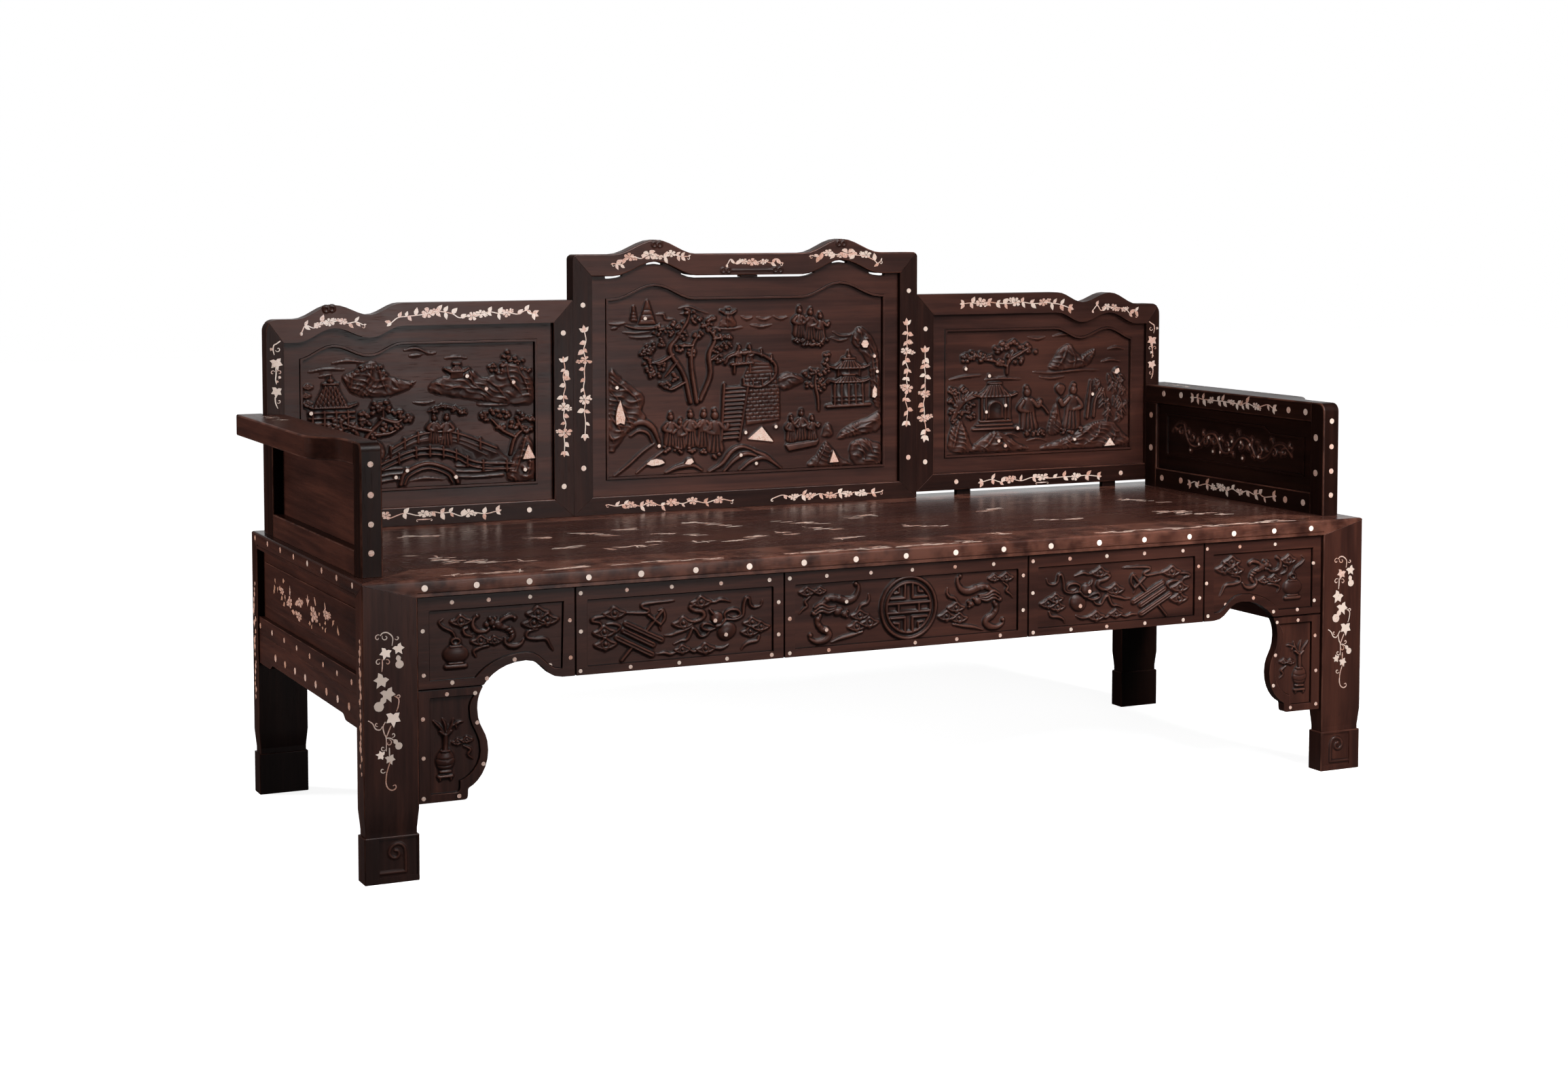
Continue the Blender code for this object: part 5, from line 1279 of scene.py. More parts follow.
class Inlay:
    """Thin plates of shell let into faces, gathered into one piece for each body."""

    MARGIN, REACH, FLAT = 1.1, 0.02, 0.0008
    RISES, TINTS, TINT_SPREAD = (0.8, 1.6), (0.1, 1.0), 0.15

    def __init__(self, seed, solids):
        self.points, self.faces, self.tints = [], [], []
        self.chance, self.solids = np.random.default_rng(seed), solids

    def carried(self, face, outline):
        """True where the face lies under all of an outline and a little beyond."""
        middle = outline.mean(0)
        for place in face.points(*(middle + self.MARGIN * (outline - middle)).T, np.zeros(len(outline))):
            hit = self.solids.tree.ray_cast(Vector(place) + face.out * self.REACH, -face.out)[3]
            if hit is None or abs(hit - self.REACH) > self.FLAT:
                return False
        return True

    def add(self, face, outline, tint=None, bedded=False):
        """Lets in a plate, none quite as high as the next, where the face or a bed carries it."""
        pearl = bpy.context.scene.bench_pearl
        outline = np.array(outline, float)
        after = np.roll(outline, -1, 0)
        if (outline[:, 0] * after[:, 1] - after[:, 0] * outline[:, 1]).sum() < 0:
            outline = outline[::-1]
        rise = pearl.lift / MM * self.chance.uniform(*self.RISES)
        tint = self.chance.uniform(*self.TINTS) if tint is None else tint
        tint = tint + self.chance.uniform(-self.TINT_SPREAD, self.TINT_SPREAD)
        if not bedded and not self.carried(face, outline):
            return
        count, base = len(outline), len(self.points)
        rise = np.full(count, rise)
        self.points += face.points(outline[:, 0], outline[:, 1], rise).tolist()
        self.points += face.points(outline[:, 0], outline[:, 1], rise * 0 - pearl.depth / MM).tolist()
        upper = list(range(base, base + count))
        self.faces.append(upper)
        self.faces.append([corner + count for corner in reversed(upper)])
        for first, second in zip(upper, upper[1:] + upper[:1]):
            self.faces.append([first, first + count, second + count, second])
        self.tints += [float(np.clip(tint, -1, 2))] * (2 * count)

    def set_in(self, name, body):
        mesh = bpy.data.meshes.new(name)
        mesh.from_pydata(self.points, [], self.faces)
        mesh.attributes.new("tint", "FLOAT", "POINT").data.foreach_set("value", self.tints)
        hand_over(piece_of(name, mesh, shell()), body, PEARL)


STEM_TAPER, LEAST_STEM = 3, 0.15


def strip(inlay, face, path, width, start=0.6, end=0.3):
    """A thin stem or tendril along a path, that thins to start and end times its width."""
    path = np.array(path, float)
    along = np.gradient(path, axis=0)
    length = np.maximum(np.hypot(along[:, 0], along[:, 1]), 1e-6)
    share = np.linspace(0, 1, len(path))
    grown = start + (1 - start) * share * STEM_TAPER
    left = end + (1 - end) * (1 - share) * STEM_TAPER
    thick = 0.5 * width * np.minimum(grown, left).clip(LEAST_STEM, 1)
    beside = np.stack([-along[:, 1], along[:, 0]], 1) / length[:, None] * thick[:, None]
    inlay.add(face, np.vstack([path + beside, (path - beside)[::-1]]))


def leaf(inlay, face, across, up, length, turn, width=0.36, tint=None):
    """A pointed leaf that grows from a place in a direction."""
    at = Spot(across, up, length, turn)
    inlay.add(face, at((0, 0), (0.2, width * 0.42), (0.45, width * 0.55), (0.75, width * 0.34),
                       (1.05, 0.02), (0.78, -width * 0.3), (0.48, -width * 0.5), (0.2, -width * 0.36)),
              tint)


def round_leaf(inlay, face, across, up, length, turn, width=0.62, tint=None):
    """A blunt leaf on a short stalk."""
    at = Spot(across, up, length, turn)
    inlay.add(face, at((0, 0.05), (0.26, 0.07), (0.46, width * 0.42), (0.74, width * 0.55),
                       (0.95, width * 0.32), (1.04, 0), (0.94, -width * 0.34), (0.72, -width * 0.52),
                       (0.44, -width * 0.4), (0.26, -0.07), (0, -0.05)), tint)


def flower(inlay, face, across, up, wide, tall, tint=None):
    """A full flower, broader than tall or not: a blossom of uneven petals with a smaller one beside it."""
    chance = inlay.chance
    tint = chance.uniform(0.2, 0.9) if tint is None else tint
    side, high = chance.choice((-1, 1), 2)
    for petals, size, aside, above in ((6, 1.05, -0.08 * side, 0), (5, 0.56, 0.4 * side, 0.2 * high)):
        half, turn = math.pi / petals, chance.uniform(0, 360)
        for number in range(petals):
            at = Spot(across + aside * wide, up + above * tall, size * wide / 2,
                      turn + number * 360 / petals, 1, tall / wide)
            reach = chance.uniform(0.78, 1.12)
            wedge = ((0.07, 0), (reach * 0.6, -0.82), (reach * 0.9, -0.66), (reach, -0.2),
                     (reach * 0.97, 0.3), (reach * 0.86, 0.7), (reach * 0.58, 0.82))
            petal = [(far * math.cos(share * half), far * math.sin(share * half)) for far, share in wedge]
            inlay.add(face, at(*petal), tint)


def maple(inlay, face, across, up, size, turn, tint=None):
    """A leaf of five points."""
    outline = []
    for angle, reach in ((-150, 0.62), (-118, 0.98), (-88, 0.62), (-54, 1.06), (-28, 0.66), (2, 1.25),
                         (26, 0.64), (58, 1.02), (90, 0.6), (124, 0.9), (154, 0.56), (180, 0.3)):
        angle = math.radians(angle)
        outline.append((reach * math.cos(angle), reach * math.sin(angle)))
    inlay.add(face, Spot(across, up, size, turn)(*outline), tint)


def gourd(inlay, face, across, up, size, turn, tint=None):
    """A small double gourd."""
    at = Spot(across, up, size, turn)
    inlay.add(face, flow(at((-0.9, 0), (-0.6, 0.5), (-0.1, 0.48), (0.12, 0.22), (0.45, 0.34), (0.8, 0.12),
                            (0.8, -0.12), (0.45, -0.34), (0.12, -0.22), (-0.1, -0.48), (-0.6, -0.5)), True,
                         2), tint)


def curl(inlay, face, across, up, radius, start, sweep, width=1.1):
    """A tendril that winds in on itself."""
    strip(inlay, face, ring(across, up, radius, start, start + sweep, 14, 0.25), width)


def heading(start, end):
    """The direction from one place to another, in degrees."""
    return math.degrees(math.atan2(end[1] - start[1], end[0] - start[0]))


# How sprays grow: the stem's sway, where leaves sit on it, how long they are and which sides they take
SWAY, STEM_WIDTH = (0.6, 2.6), 1.9
LEAF_SHIFTS, LEAF_LENGTHS = (-3.4, 2.4), (10.0, 15.5)
LEAF_SIDES, SIDE_CHANCES = ((1, -1), (1,), (-1,)), (0.6, 0.2, 0.2)
TUFT, TUFT_LENGTHS = (-48, 0, 48), (10, 14)


def spray(inlay, face, path, flowers, size=1.0, formal=False):
    """A flowering branch: leaves in pairs along its stem, full flowers, and tufts or curls at its ends."""
    chance = inlay.chance
    way = -1
    for number in range(1, len(path) - 1):
        way = -way
        at = Spot(0, 0, size, heading(path[number - 1], path[number + 1]))
        bend = at((0, way * chance.uniform(*SWAY)))[0]
        path = (*path[:number], tuple(path[number] + bend), *path[number + 1:])
    stem = flow(path, steps=5)
    for first in range(0, len(stem) - 2, 5):
        strip(inlay, face, stem[first:first + 6], STEM_WIDTH * size, 0.9, 0.9)
    spread, fat = ((30, 65), (0.45, 0.65)) if formal else ((35, 75), (0.5, 0.72))
    for before, place, after in zip(path, path[1:], path[2:]):
        if any(math.dist(place, bloom[:2]) < 0.5 * max(bloom[2:]) for bloom in flowers):
            continue
        run = heading(before, after)
        for side in LEAF_SIDES[chance.choice(3, p=SIDE_CHANCES)]:
            at = Spot(*place, size, run)((chance.uniform(*LEAF_SHIFTS), 0))[0]
            turn = run + side * chance.uniform(*spread)
            leaf(inlay, face, *at, size * chance.uniform(*LEAF_LENGTHS), turn, chance.uniform(*fat))
    for across, up, wide, tall in flowers:
        flower(inlay, face, across, up, wide, tall)
    for end, inner in ((path[0], path[1]), (path[-1], path[-2])):
        turn = heading(inner, end)
        if formal:
            sweep = 290 if abs(turn) > 90 else -290
            curl(inlay, face, end[0], end[1] - 3.6 * size, 3.8 * size, 90, sweep, 1.3 * size)
            leaf(inlay, face, *end, 6 * size, turn + 30, 0.5)
        else:
            for aside in TUFT:
                leaf(inlay, face, *end, size * chance.uniform(*TUFT_LENGTHS), turn + aside, 0.55)


def stile_vine(inlay, face, across, flip):
    """A short hanging vine of two maple leaves, tendrils and buds on an outer stile."""
    at = Spot(across, 0, 1.0, 0, flip)
    for path in (((10, 828), (2.5, 823), (-2.5, 820), (-3.7, 811), (-1.7, 803)),
                 ((0.8, 779), (1.2, 769), (0, 759), (1.7, 750)), ((-1.2, 727), (-0.4, 716), (3.7, 706))):
        strip(inlay, face, flow(at(*path), steps=3), 2.2, 0.9, 0.5)
    for place, radius, start, sweep in (((5, 813), 5, 200, 300), ((-5, 771), 4.4, 20, 300),
                                        ((7, 771), 4.4, 160, -300), ((5.4, 719), 3.8, 220, 300)):
        place = at(place)[0]
        curl(inlay, face, *place, radius, start if flip > 0 else 180 - start, sweep * flip, 1.5)
    for place, size, turn in (((1.7, 789), 12.5, -80), ((2, 738), 11, -100)):
        maple(inlay, face, *at(place)[0], size, turn if flip > 0 else 180 - turn)
    for place, length in (((-9, 810), 6), ((5.6, 759), 6), ((1.6, 752), 5)):
        round_leaf(inlay, face, *at(place)[0], length, 60, 0.9)


def leg_vine(inlay, face, tint):
    """A hanging vine of maple leaves, gourds and tendrils on a front leg."""
    for path in LEG_STEMS:
        strip(inlay, face, flow(path, steps=5), 1.9, 0.8, 0.6)
    for tendril in LEG_CURLS:
        curl(inlay, face, *tendril, 1.6)
    for grown in LEG_LEAVES:
        maple(inlay, face, *grown, tint + inlay.chance.uniform(-0.4, 0.6))
    for grown in LEG_GOURDS:
        gourd(inlay, face, *grown, tint + inlay.chance.uniform(-0.2, 0.6))


def stand(inlay, face, across, up):
    """A low table under a flower: a bar with a curl at each end."""
    half = 13
    strip(inlay, face, [(across - half, up), (across, up), (across + half, up)], 2.2)
    for side in (-1, 1):
        curl(inlay, face, across + side * half, up - 2, 2.4, 90, -260 * side, 1.1)


def flakes(inlay, face, path, count, spread, length, low=-math.inf):
    """Worn scraps of an old design, scattered along a path, none lower than low."""
    chance = inlay.chance
    line = flow(path, steps=10)
    for _ in range(count):
        place = line[chance.integers(len(line))] + chance.normal(0, 1, 2) * spread
        long = length * chance.uniform(0.3, 1.3)
        wide = chance.uniform(0.1, 0.32) * min(long, 16)
        lean = chance.normal(0, 14)
        at = Spot(*place, 1.0, lean + (90 if chance.uniform() < 0.08 else 0))
        along = np.linspace(-0.5, 0.5, 5) * long
        upper = wide * np.array((0.15, 0.7, 0.5, 0.8, 0.1)) * chance.uniform(0.5, 1.2, 5)
        lower = -wide * np.array((0.1, 0.6, 0.8, 0.5, 0.15)) * chance.uniform(0.3, 1.1, 5)
        scrap = at(*np.vstack([np.stack([along, lower], 1), np.stack([along, upper], 1)[::-1]]))
        if scrap[:, 1].min() > low:
            inlay.add(face, scrap)


def dot_tree():
    """Geometry nodes that set a bevelled disc of shell on every point, square to its face."""
    tree = bpy.data.node_groups.new("shell_dots", "GeometryNodeTree")
    sockets = tree.interface
    sockets.new_socket("Geometry", in_out="INPUT", socket_type="NodeSocketGeometry")
    depth = sockets.new_socket("Depth", in_out="INPUT", socket_type="NodeSocketFloat")
    bevel = sockets.new_socket("Bevelled radius", in_out="INPUT", socket_type="NodeSocketFloat")
    sides = sockets.new_socket("Sides", in_out="INPUT", socket_type="NodeSocketInt")
    sockets.new_socket("Geometry", in_out="OUTPUT", socket_type="NodeSocketGeometry")

    def add(kind, settings=None, **links):
        node = tree.nodes.new(kind)
        for name, value in (settings or {}).items():
            setattr(node, name, value)
        for name, source in links.items():
            tree.links.new(source, node.inputs[name.replace("_", " ")])
        return node

    given = add("NodeGroupInput").outputs
    disc = add("GeometryNodeMeshCone", {"fill_type": "NGON"}, Vertices=given["Sides"], Depth=given["Depth"],
               Radius_Top=given["Bevelled radius"])
    disc.inputs["Radius Bottom"].default_value = 0.5
    facing = add("GeometryNodeInputNamedAttribute", {"data_type": "FLOAT_VECTOR"})
    facing.inputs["Name"].default_value = "facing"
    turn = add("FunctionNodeAlignRotationToVector", {"axis": "Z"}, Vector=facing.outputs["Attribute"])
    width = add("GeometryNodeInputNamedAttribute", {"data_type": "FLOAT"})
    width.inputs["Name"].default_value = "width"
    size = add("ShaderNodeCombineXYZ", None, X=width.outputs["Attribute"], Y=width.outputs["Attribute"])
    size.inputs["Z"].default_value = 1.0
    placed = add("GeometryNodeInstanceOnPoints", None, Points=given["Geometry"],
                 Instance=disc.outputs["Mesh"], Rotation=turn.outputs["Rotation"],
                 Scale=size.outputs["Vector"])
    real = add("GeometryNodeRealizeInstances", None, Geometry=placed.outputs["Instances"])
    faced = add("GeometryNodeSetMaterial", None, Geometry=real.outputs["Geometry"])
    faced.inputs["Material"].default_value = shell()
    add("NodeGroupOutput", None, Geometry=faced.outputs["Geometry"])
    return tree, depth.identifier, bevel.identifier, sides.identifier


class Dots:
    """Round dots of shell, each dropped on to the solid that carries it."""

    REACH = 0.06
    SEED, TINT_SPREAD, WIDTHS = 5, 0.22, (0.95, 1.05)
    BEVELLED_RADIUS, SIDES = 0.46, 20

    def __init__(self):
        self.solids = Solids(True)
        self.found = {}
        self.chance = np.random.default_rng(self.SEED)

    def put(self, places, width, direction, tint):
        """Places are points in millimetres in front of the face; the direction looks at the face."""
        for place in places:
            spot, piece = self.solids.drop(Vector(place) * MM - direction * self.REACH, direction)
            shade = float(np.clip(tint + self.chance.normal(0, self.TINT_SPREAD), -1, 2))
            dot = (spot, -direction, width * self.chance.uniform(*self.WIDTHS), shade)
            self.found.setdefault(BODY_OF[piece], []).append(dot)

    def set_in(self):
        """One piece of dots for each body."""
        pearl = bpy.context.scene.bench_pearl
        tree, depth, bevel, sides = dot_tree()
        for body, dots in sorted(self.found.items()):
            mesh = bpy.data.meshes.new("dots_" + body)
            mesh.from_pydata([spot - normal * pearl.depth for spot, normal, _, _ in dots], [], [])
            facing = mesh.attributes.new("facing", "FLOAT_VECTOR", "POINT")
            facing.data.foreach_set("vector", [part for _, normal, _, _ in dots for part in normal])
            for name, place in (("width", 2), ("tint", 3)):
                values = mesh.attributes.new(name, "FLOAT", "POINT").data
                values.foreach_set("value", [dot[place] for dot in dots])
            piece = piece_of("dots_" + body, mesh)
            modifier = piece.modifiers.new("Shell dots", "NODES")
            modifier.node_group = tree
            modifier[depth] = pearl.depth + 2 * pearl.lift
            modifier[bevel] = self.BEVELLED_RADIUS
            modifier[sides] = self.SIDES
            hand_over(settle(piece), body, PEARL)


def mirror(places):
    """The likes of places on the other half of the bench."""
    return tuple((-place[0], *place[1:]) for place in places)


# Boldness of the carving, sizes of sprays and share of flakes, in times what is drawn

APRON_BOLD, BACK_BOLD = 1.3, 1.25
LOW_SPRAY, ARM_SPRAY, FLAKE_SHARE = 0.95, 1.1, 1.3

# Seeds of chance

FRAME_SEED, ARM_SEED, LEG_SEED, SEAT_SEED = 40, 50, 60, 70

# Places and sizes, in millimetres

KEY_SCROLL_FIELD = ((-953, 8), (-887, 73))
MEDALLION = (0, 374)
KNOT_MARGIN, KNOT_RADIUS, CORD_WIDTH = 9, 4.6, 2.6
FLAKE_LENGTH = 32
LOW_RAIL = 520
POST_MIDDLE, ARM_FRONT = 943, -305
SEAT_DOT_LEVEL, SEAT_EDGE = 466, -354
LEG_VINES = ((0, 0, -0.45), (1865, 8, 0.0))
LEG_SIDE_COLUMNS, LEG_SIDE_LEVELS = (-345, 346), np.arange(172, 392, 11.0)
SEAT_DOTS = (-873, -787, -698, -596, -504, -406, -308, -206, -107, -9.5, 89, 186, 283.5, 385, 481.5, 580,
             679, 770, 855)
LEFT_APRON_DOTS = (
    (-826.5, 440), (-765, 440), (-695, 440), (-875, 397), (-874, 326), (-827, 311), (-769, 313),
    (-722, 340), (-660, 325), (-627, 397), (-626, 335.5), (-836, 293), (-789, 291), (-876, 256),
    (-786, 243), (-875.5, 193), (-776, 175), (-876, 128), (-817, 127), (-608, 440), (-527, 440),
    (-447, 440), (-357.5, 440), (-268, 440), (-251, 401), (-251, 346), (-264, 312), (-347, 312),
    (-434, 312), (-521, 312), (-609, 312), (-608, 377), (-368.5, 378), (-349, 353))
RIGHT_APRON_DOTS = (
    (624, 440), (697, 440), (777, 440), (866, 399), (869, 328), (830, 313), (775, 313), (729, 342),
    (669, 333), (627, 315), (623, 376), (784, 292), (832, 293), (872, 261), (875, 194), (876, 130),
    (817, 128), (777, 173), (781, 230), (250, 440), (327, 440), (405, 440), (486, 440), (570, 440),
    (605, 409), (608, 350), (572, 312), (488, 312), (406, 312), (330, 312), (251, 312), (250, 383),
    (368.5, 378), (349, 353))
CENTRE_APRON_DOTS = (
    (-230, 440), (-160, 440), (-75, 440), (6, 440), (91, 440), (169, 440), (230, 416), (230, 354),
    (183, 312), (95, 312), (12, 312), (-156, 312), (-230, 312), (-230, 371), (-122, 393), (-160.5, 347))
CARVED_APRON_DOTS = LEFT_APRON_DOTS[-2:] + CENTRE_APRON_DOTS[-2:]
BACK_DOTS = (
    (-351, 883), (-351, 572), (352, 901), (352, 563), (-391, 831), (-391, 539), (-461, 498), (391, 823),
    (391, 552), (464, 508), (864, 508))
PANEL_DOTS = (
    (-219, 855), (-278, 723), (-190, 607), (-5, 626), (61, 635), (-17, 582), (18, 564), (279, 770),
    (285, 739), (-466, 574), (-717, 570), (-696, 582), (-602, 566), (-875, 694), (-579, 754), (-488, 740),
    (-541, 729), (493, 738), (549, 722), (586, 660), (540, 648), (615, 612), (570, 587), (586, 576),
    (755, 583), (799, 677))
SIDE_DOTS = (
    (470, np.linspace(333, -306, 8), "frame_dot"), (312, np.linspace(314, -286, 8), "frame_dot"),
    (270, np.linspace(206, -270, 8), "side_dot"))
ARM_DOTS = (
    (231, 679), (168, 680), (-195, 675), (-248, 675), (277, 631), (277, 562), (-281, 628), (-281, 560),
    (235, 501), (166, 502), (-188, 499), (-244, 499))
ARM_PANEL_DOTS = (
    (145, 567), (112, 582), (77, 599), (40, 599), (66, 571), (37, 572), (6, 580), (-1, 597), (-32, 598),
    (-63, 596), (-35, 566), (-91, 574))
POST_DOTS = (661, 612, 565, 519)
SIDE_BLOSSOMS = (
    (180, 394, 30, 14), (125, 382, 34, 20), (52, 391, 30, 15), (64, 366, 40, 16), (-35, 384, 40, 27),
    (-112, 395, 30, 18), (-132, 396, 20, 11))
SIDE_LEAVES = (
    (122, 392, 18, 90), (3, 391, 20, 90), (3, 398, 12, 150), (3, 398, 12, 30), (-51, 400, 18, 50),
    (-112, 402, 14, 60), (90, 367, 21, 5), (66, 390, 22, -18))
SIDE_SCRAPS = (
    (-2, 363), (-25, 365), (-70, 374), (-87, 370), (-114, 373), (-103, 378), (-152, 381), (-165, 392),
    (-184, 387), (-182, 378), (225, 400), (237, 392), (228, 384), (210, 387), (186, 377), (171, 369),
    (-77, 392), (158, 414), (154, 379))
SEAT_FLAKES = (
    ([(-782, 164), (-730, 150), (-688, 141)], 8, 6),
    ([(-791, -82), (-767, -174), (-720, -200), (-673, -224)], 22, 14), ([(-552, 40), (-515, 32)], 5, 4),
    ([(-557, -112), (-518, -99)], 6, 5), ([(-461, 68), (-430, 50), (-406, -2)], 8, 3),
    ([(-478, -155), (-395, -132)], 9, 6), ([(-377, 78), (-337, 89)], 5, 4),
    ([(-316, 3), (-268, -46)], 7, 4), ([(-219, 124), (-180, 100), (-151, 35)], 9, 4),
    ([(-310, -127), (-288, -136)], 4, 3), ([(-238, -150), (-156, -95)], 9, 6),
    ([(-370, -99), (-360, -99)], 3, 4), ([(-53, 65), (14, 1)], 8, 5), ([(-46, -31), (-6, -87)], 7, 5),
    ([(-112, -78), (-101, -120)], 5, 4), ([(98, 58), (160, 87)], 6, 4),
    ([(361, 26), (400, 60), (438, 69)], 8, 4), ([(410, -124), (486, -142)], 8, 5),
    ([(702, 136), (777, 22)], 9, 7), ([(689, -119), (773, -196)], 16, 12),
    ([(131, -92), (207, -131)], 8, 5), ([(-69, -206), (-23, -192)], 6, 5),
    ([(218, -245), (238, -269)], 4, 4), ([(-813, -332), (-600, -336), (-363, -332)], 44, 6),
    ([(-217, -334), (-40, -338), (128, -334)], 34, 6), ([(403, -334), (600, -338), (812, -332)], 40, 6))
CENTRE_HUMP = ((-288, 962), (-281, 958), (-272, 962), (-253, 974), (-231, 973), (-212, 978), (-184, 974),
               (-174, 980), (-157, 978), (-148, 973), (-133, 974))
CENTRE_HUMP_FLOWERS = ((-253, 974, 22, 15), (-211, 977, 36, 19), (-171, 979, 22, 15))
CENTRE_STILE = ((-348, 832), (-347, 815), (-349, 797), (-348, 778), (-347, 760), (-349, 742), (-348, 726),
                (-348, 702), (-347, 682), (-349, 660), (-348, 637))
CENTRE_STILE_FLOWERS = ((-348, 779, 28, 16), (-348, 703, 24, 21))
SIDE_STILE = ((-390, 776), (-389, 763), (-391, 748), (-389, 730), (-391, 710), (-390, 690), (-389, 672),
              (-388, 658), (-390, 641), (-391, 620), (-390, 606))
SIDE_STILE_FLOWERS = ((-390, 690, 24, 16), (-390, 641, 28, 18))
FRAME_SPRAYS = {
    "back_left": (
        (((-893, 843), (-885, 853), (-870, 852), (-855, 859), (-841, 860), (-822, 861), (-808, 860),
          (-793, 858), (-779, 854)), ((-863, 855, 16, 12), (-841, 860, 18, 17), (-818, 861, 17, 12)), True),
        (((-726, 857), (-713, 865), (-696, 869), (-677, 868), (-662, 873), (-641, 876), (-623, 876),
          (-609, 870), (-595, 866), (-576, 866), (-555, 869), (-538, 873), (-517, 871), (-500, 871),
          (-482, 870), (-465, 873), (-452, 869)),
         ((-654, 873, 26, 20), (-569, 867, 20, 17), (-553, 871, 20, 15), (-502, 871, 20, 18)), False),
        (SIDE_STILE, SIDE_STILE_FLOWERS, False),
        (((-760, 500), (-747, 502), (-736, 498), (-705, 502), (-678, 501), (-652, 502), (-633, 502),
          (-617, 499), (-595, 495), (-580, 499), (-549, 497), (-527, 499)),
         ((-742, 502, 20, 15), (-667, 502, 26, 15), (-580, 499, 22, 15)), False)),
    "back_centre": (
        (CENTRE_HUMP, CENTRE_HUMP_FLOWERS, True), (mirror(CENTRE_HUMP), mirror(CENTRE_HUMP_FLOWERS), True),
        (((-50, 958), (-42, 967), (-30, 959), (-16, 963), (2, 962), (28, 962), (45, 962), (57, 966),
          (66, 960)), ((-16, 963, 16, 12), (5, 962, 22, 14), (28, 962, 16, 12)), True),
        (CENTRE_STILE, CENTRE_STILE_FLOWERS, False),
        (mirror(CENTRE_STILE), mirror(CENTRE_STILE_FLOWERS), False),
        (((-302, 500), (-285, 494), (-270, 499), (-254, 497), (-234, 495), (-214, 498), (-192, 495),
          (-169, 498), (-147, 495), (-125, 498), (-98, 495), (-69, 498), (-42, 494)),
         ((-254, 497, 18, 14), (-214, 498, 20, 14), (-169, 498, 24, 16), (-125, 498, 20, 14),
          (-69, 498, 18, 14)), True),
        (((47, 494), (70, 498), (94, 495), (112, 497), (131, 495), (152, 497), (174, 495), (194, 497),
          (214, 495), (230, 497), (247, 496), (270, 492), (290, 496)),
         ((94, 495, 18, 14), (131, 495, 20, 14), (174, 495, 24, 16), (214, 495, 20, 14),
          (247, 496, 18, 14)), True)),
    "back_right": (
        (((481, 873), (498, 872), (521, 874), (538, 873), (557, 875), (576, 871), (599, 875), (618, 872),
          (640, 873), (661, 870), (676, 874), (692, 869), (712, 870), (731, 861)),
         ((521, 874, 24, 19), (601, 875, 24, 19), (672, 873, 24, 18)), False),
        (((792, 855), (802, 863), (812, 855), (824, 861), (846, 859), (870, 855), (885, 847), (895, 850),
          (899, 843)), ((824, 861, 17, 13), (846, 859, 19, 16), (870, 855, 16, 12)), True),
        (mirror(SIDE_STILE), mirror(SIDE_STILE_FLOWERS), False),
        (((527, 505), (548, 508), (570, 504), (592, 507), (618, 504), (645, 508), (669, 507), (695, 504),
          (722, 507), (752, 504), (778, 508), (805, 504)),
         ((592, 507, 22, 16), (669, 508, 26, 15), (752, 505, 20, 16)), False))}
LEG_STEMS = (
    ((-946, 396), (-942, 400), (-934, 400), (-926, 392), (-927, 379)),
    ((-943, 359), (-943, 348), (-944, 339)), ((-924, 299), (-917, 293), (-918, 282), (-921, 274)),
    ((-939, 259), (-943, 251), (-941, 240), (-938, 233), (-938, 212)),
    ((-930, 252), (-934, 243), (-938, 233)),
    ((-967, 263), (-960, 258), (-955, 249), (-948, 247), (-944, 252)),
    ((-938, 233), (-931, 232), (-924, 227)), ((-933, 217), (-933, 203)),
    ((-932, 195), (-936, 183), (-938, 176), (-939, 162), (-936, 153), (-929, 149), (-923, 152), (-924, 157),
     (-928, 156)))
LEG_CURLS = (
    (-950, 393, 5.2, 60, 300), (-938, 393, 5.4, 150, 300), (-919, 391, 3.8, 200, 290),
    (-949, 354, 5.4, 60, 300), (-935, 353, 5, 120, -300), (-917, 297, 3.8, 200, -320),
    (-953, 256, 3.4, 300, -290), (-927, 237, 4, 250, 300), (-934, 225, 5.6, 90, -320),
    (-943, 217, 4.6, 330, -310), (-944, 182, 4.8, 330, -300))
LEG_LEAVES = (
    (-937, 369, 10.5, 250), (-917, 375, 10, 300), (-944, 326, 13, 235), (-935, 304, 13, 290),
    (-926, 265, 13.5, 270), (-946, 206, 8, 165), (-932, 200, 9, 285))
LEG_GOURDS = ((-916, 353, 12.4, 100), (-946, 288, 15, 53), (-920, 222, 11, 125))
STANDS = {"back_left": ((-667, 491),), "back_right": ((669, 497),)}
OUTER_STILES = {"back_left": ((-942, 1),), "back_right": ((942, -1),)}
ARM_SPRAYS = (
    (((-123, 678), (-109, 676), (-90, 678), (-62, 676), (-39, 678), (-22, 675), (9, 677), (29, 673),
      (41, 676), (59, 678), (92, 675), (127, 678), (145, 675)),
     ((-62, 677, 20, 15), (9, 677, 22, 13), (92, 675, 24, 17))),
    (((-130, 500), (-115, 502), (-104, 500), (-74, 503), (-42, 500), (-24, 502), (-6, 499), (15, 501),
      (40, 499), (64, 502), (89, 499), (103, 501), (120, 499), (148, 501)),
     ((-24, 502, 24, 17), (40, 499, 20, 13), (-50, 500, 18, 13))))
KNOTS = (
    ("knot_left", "back_left", ((-848, 883), (-837, 884)), ()),
    ("knot_hump_left", "back_centre", ((-204, 997), (-193, 997)), ()),
    ("knot_hump_right", "back_centre", ((193, 997), (204, 997)), ()),
    ("knot_centre", "back_centre", ((-59, 946), (-48, 946), (53, 946), (64, 946)), ((-43, 946), (48, 946))))
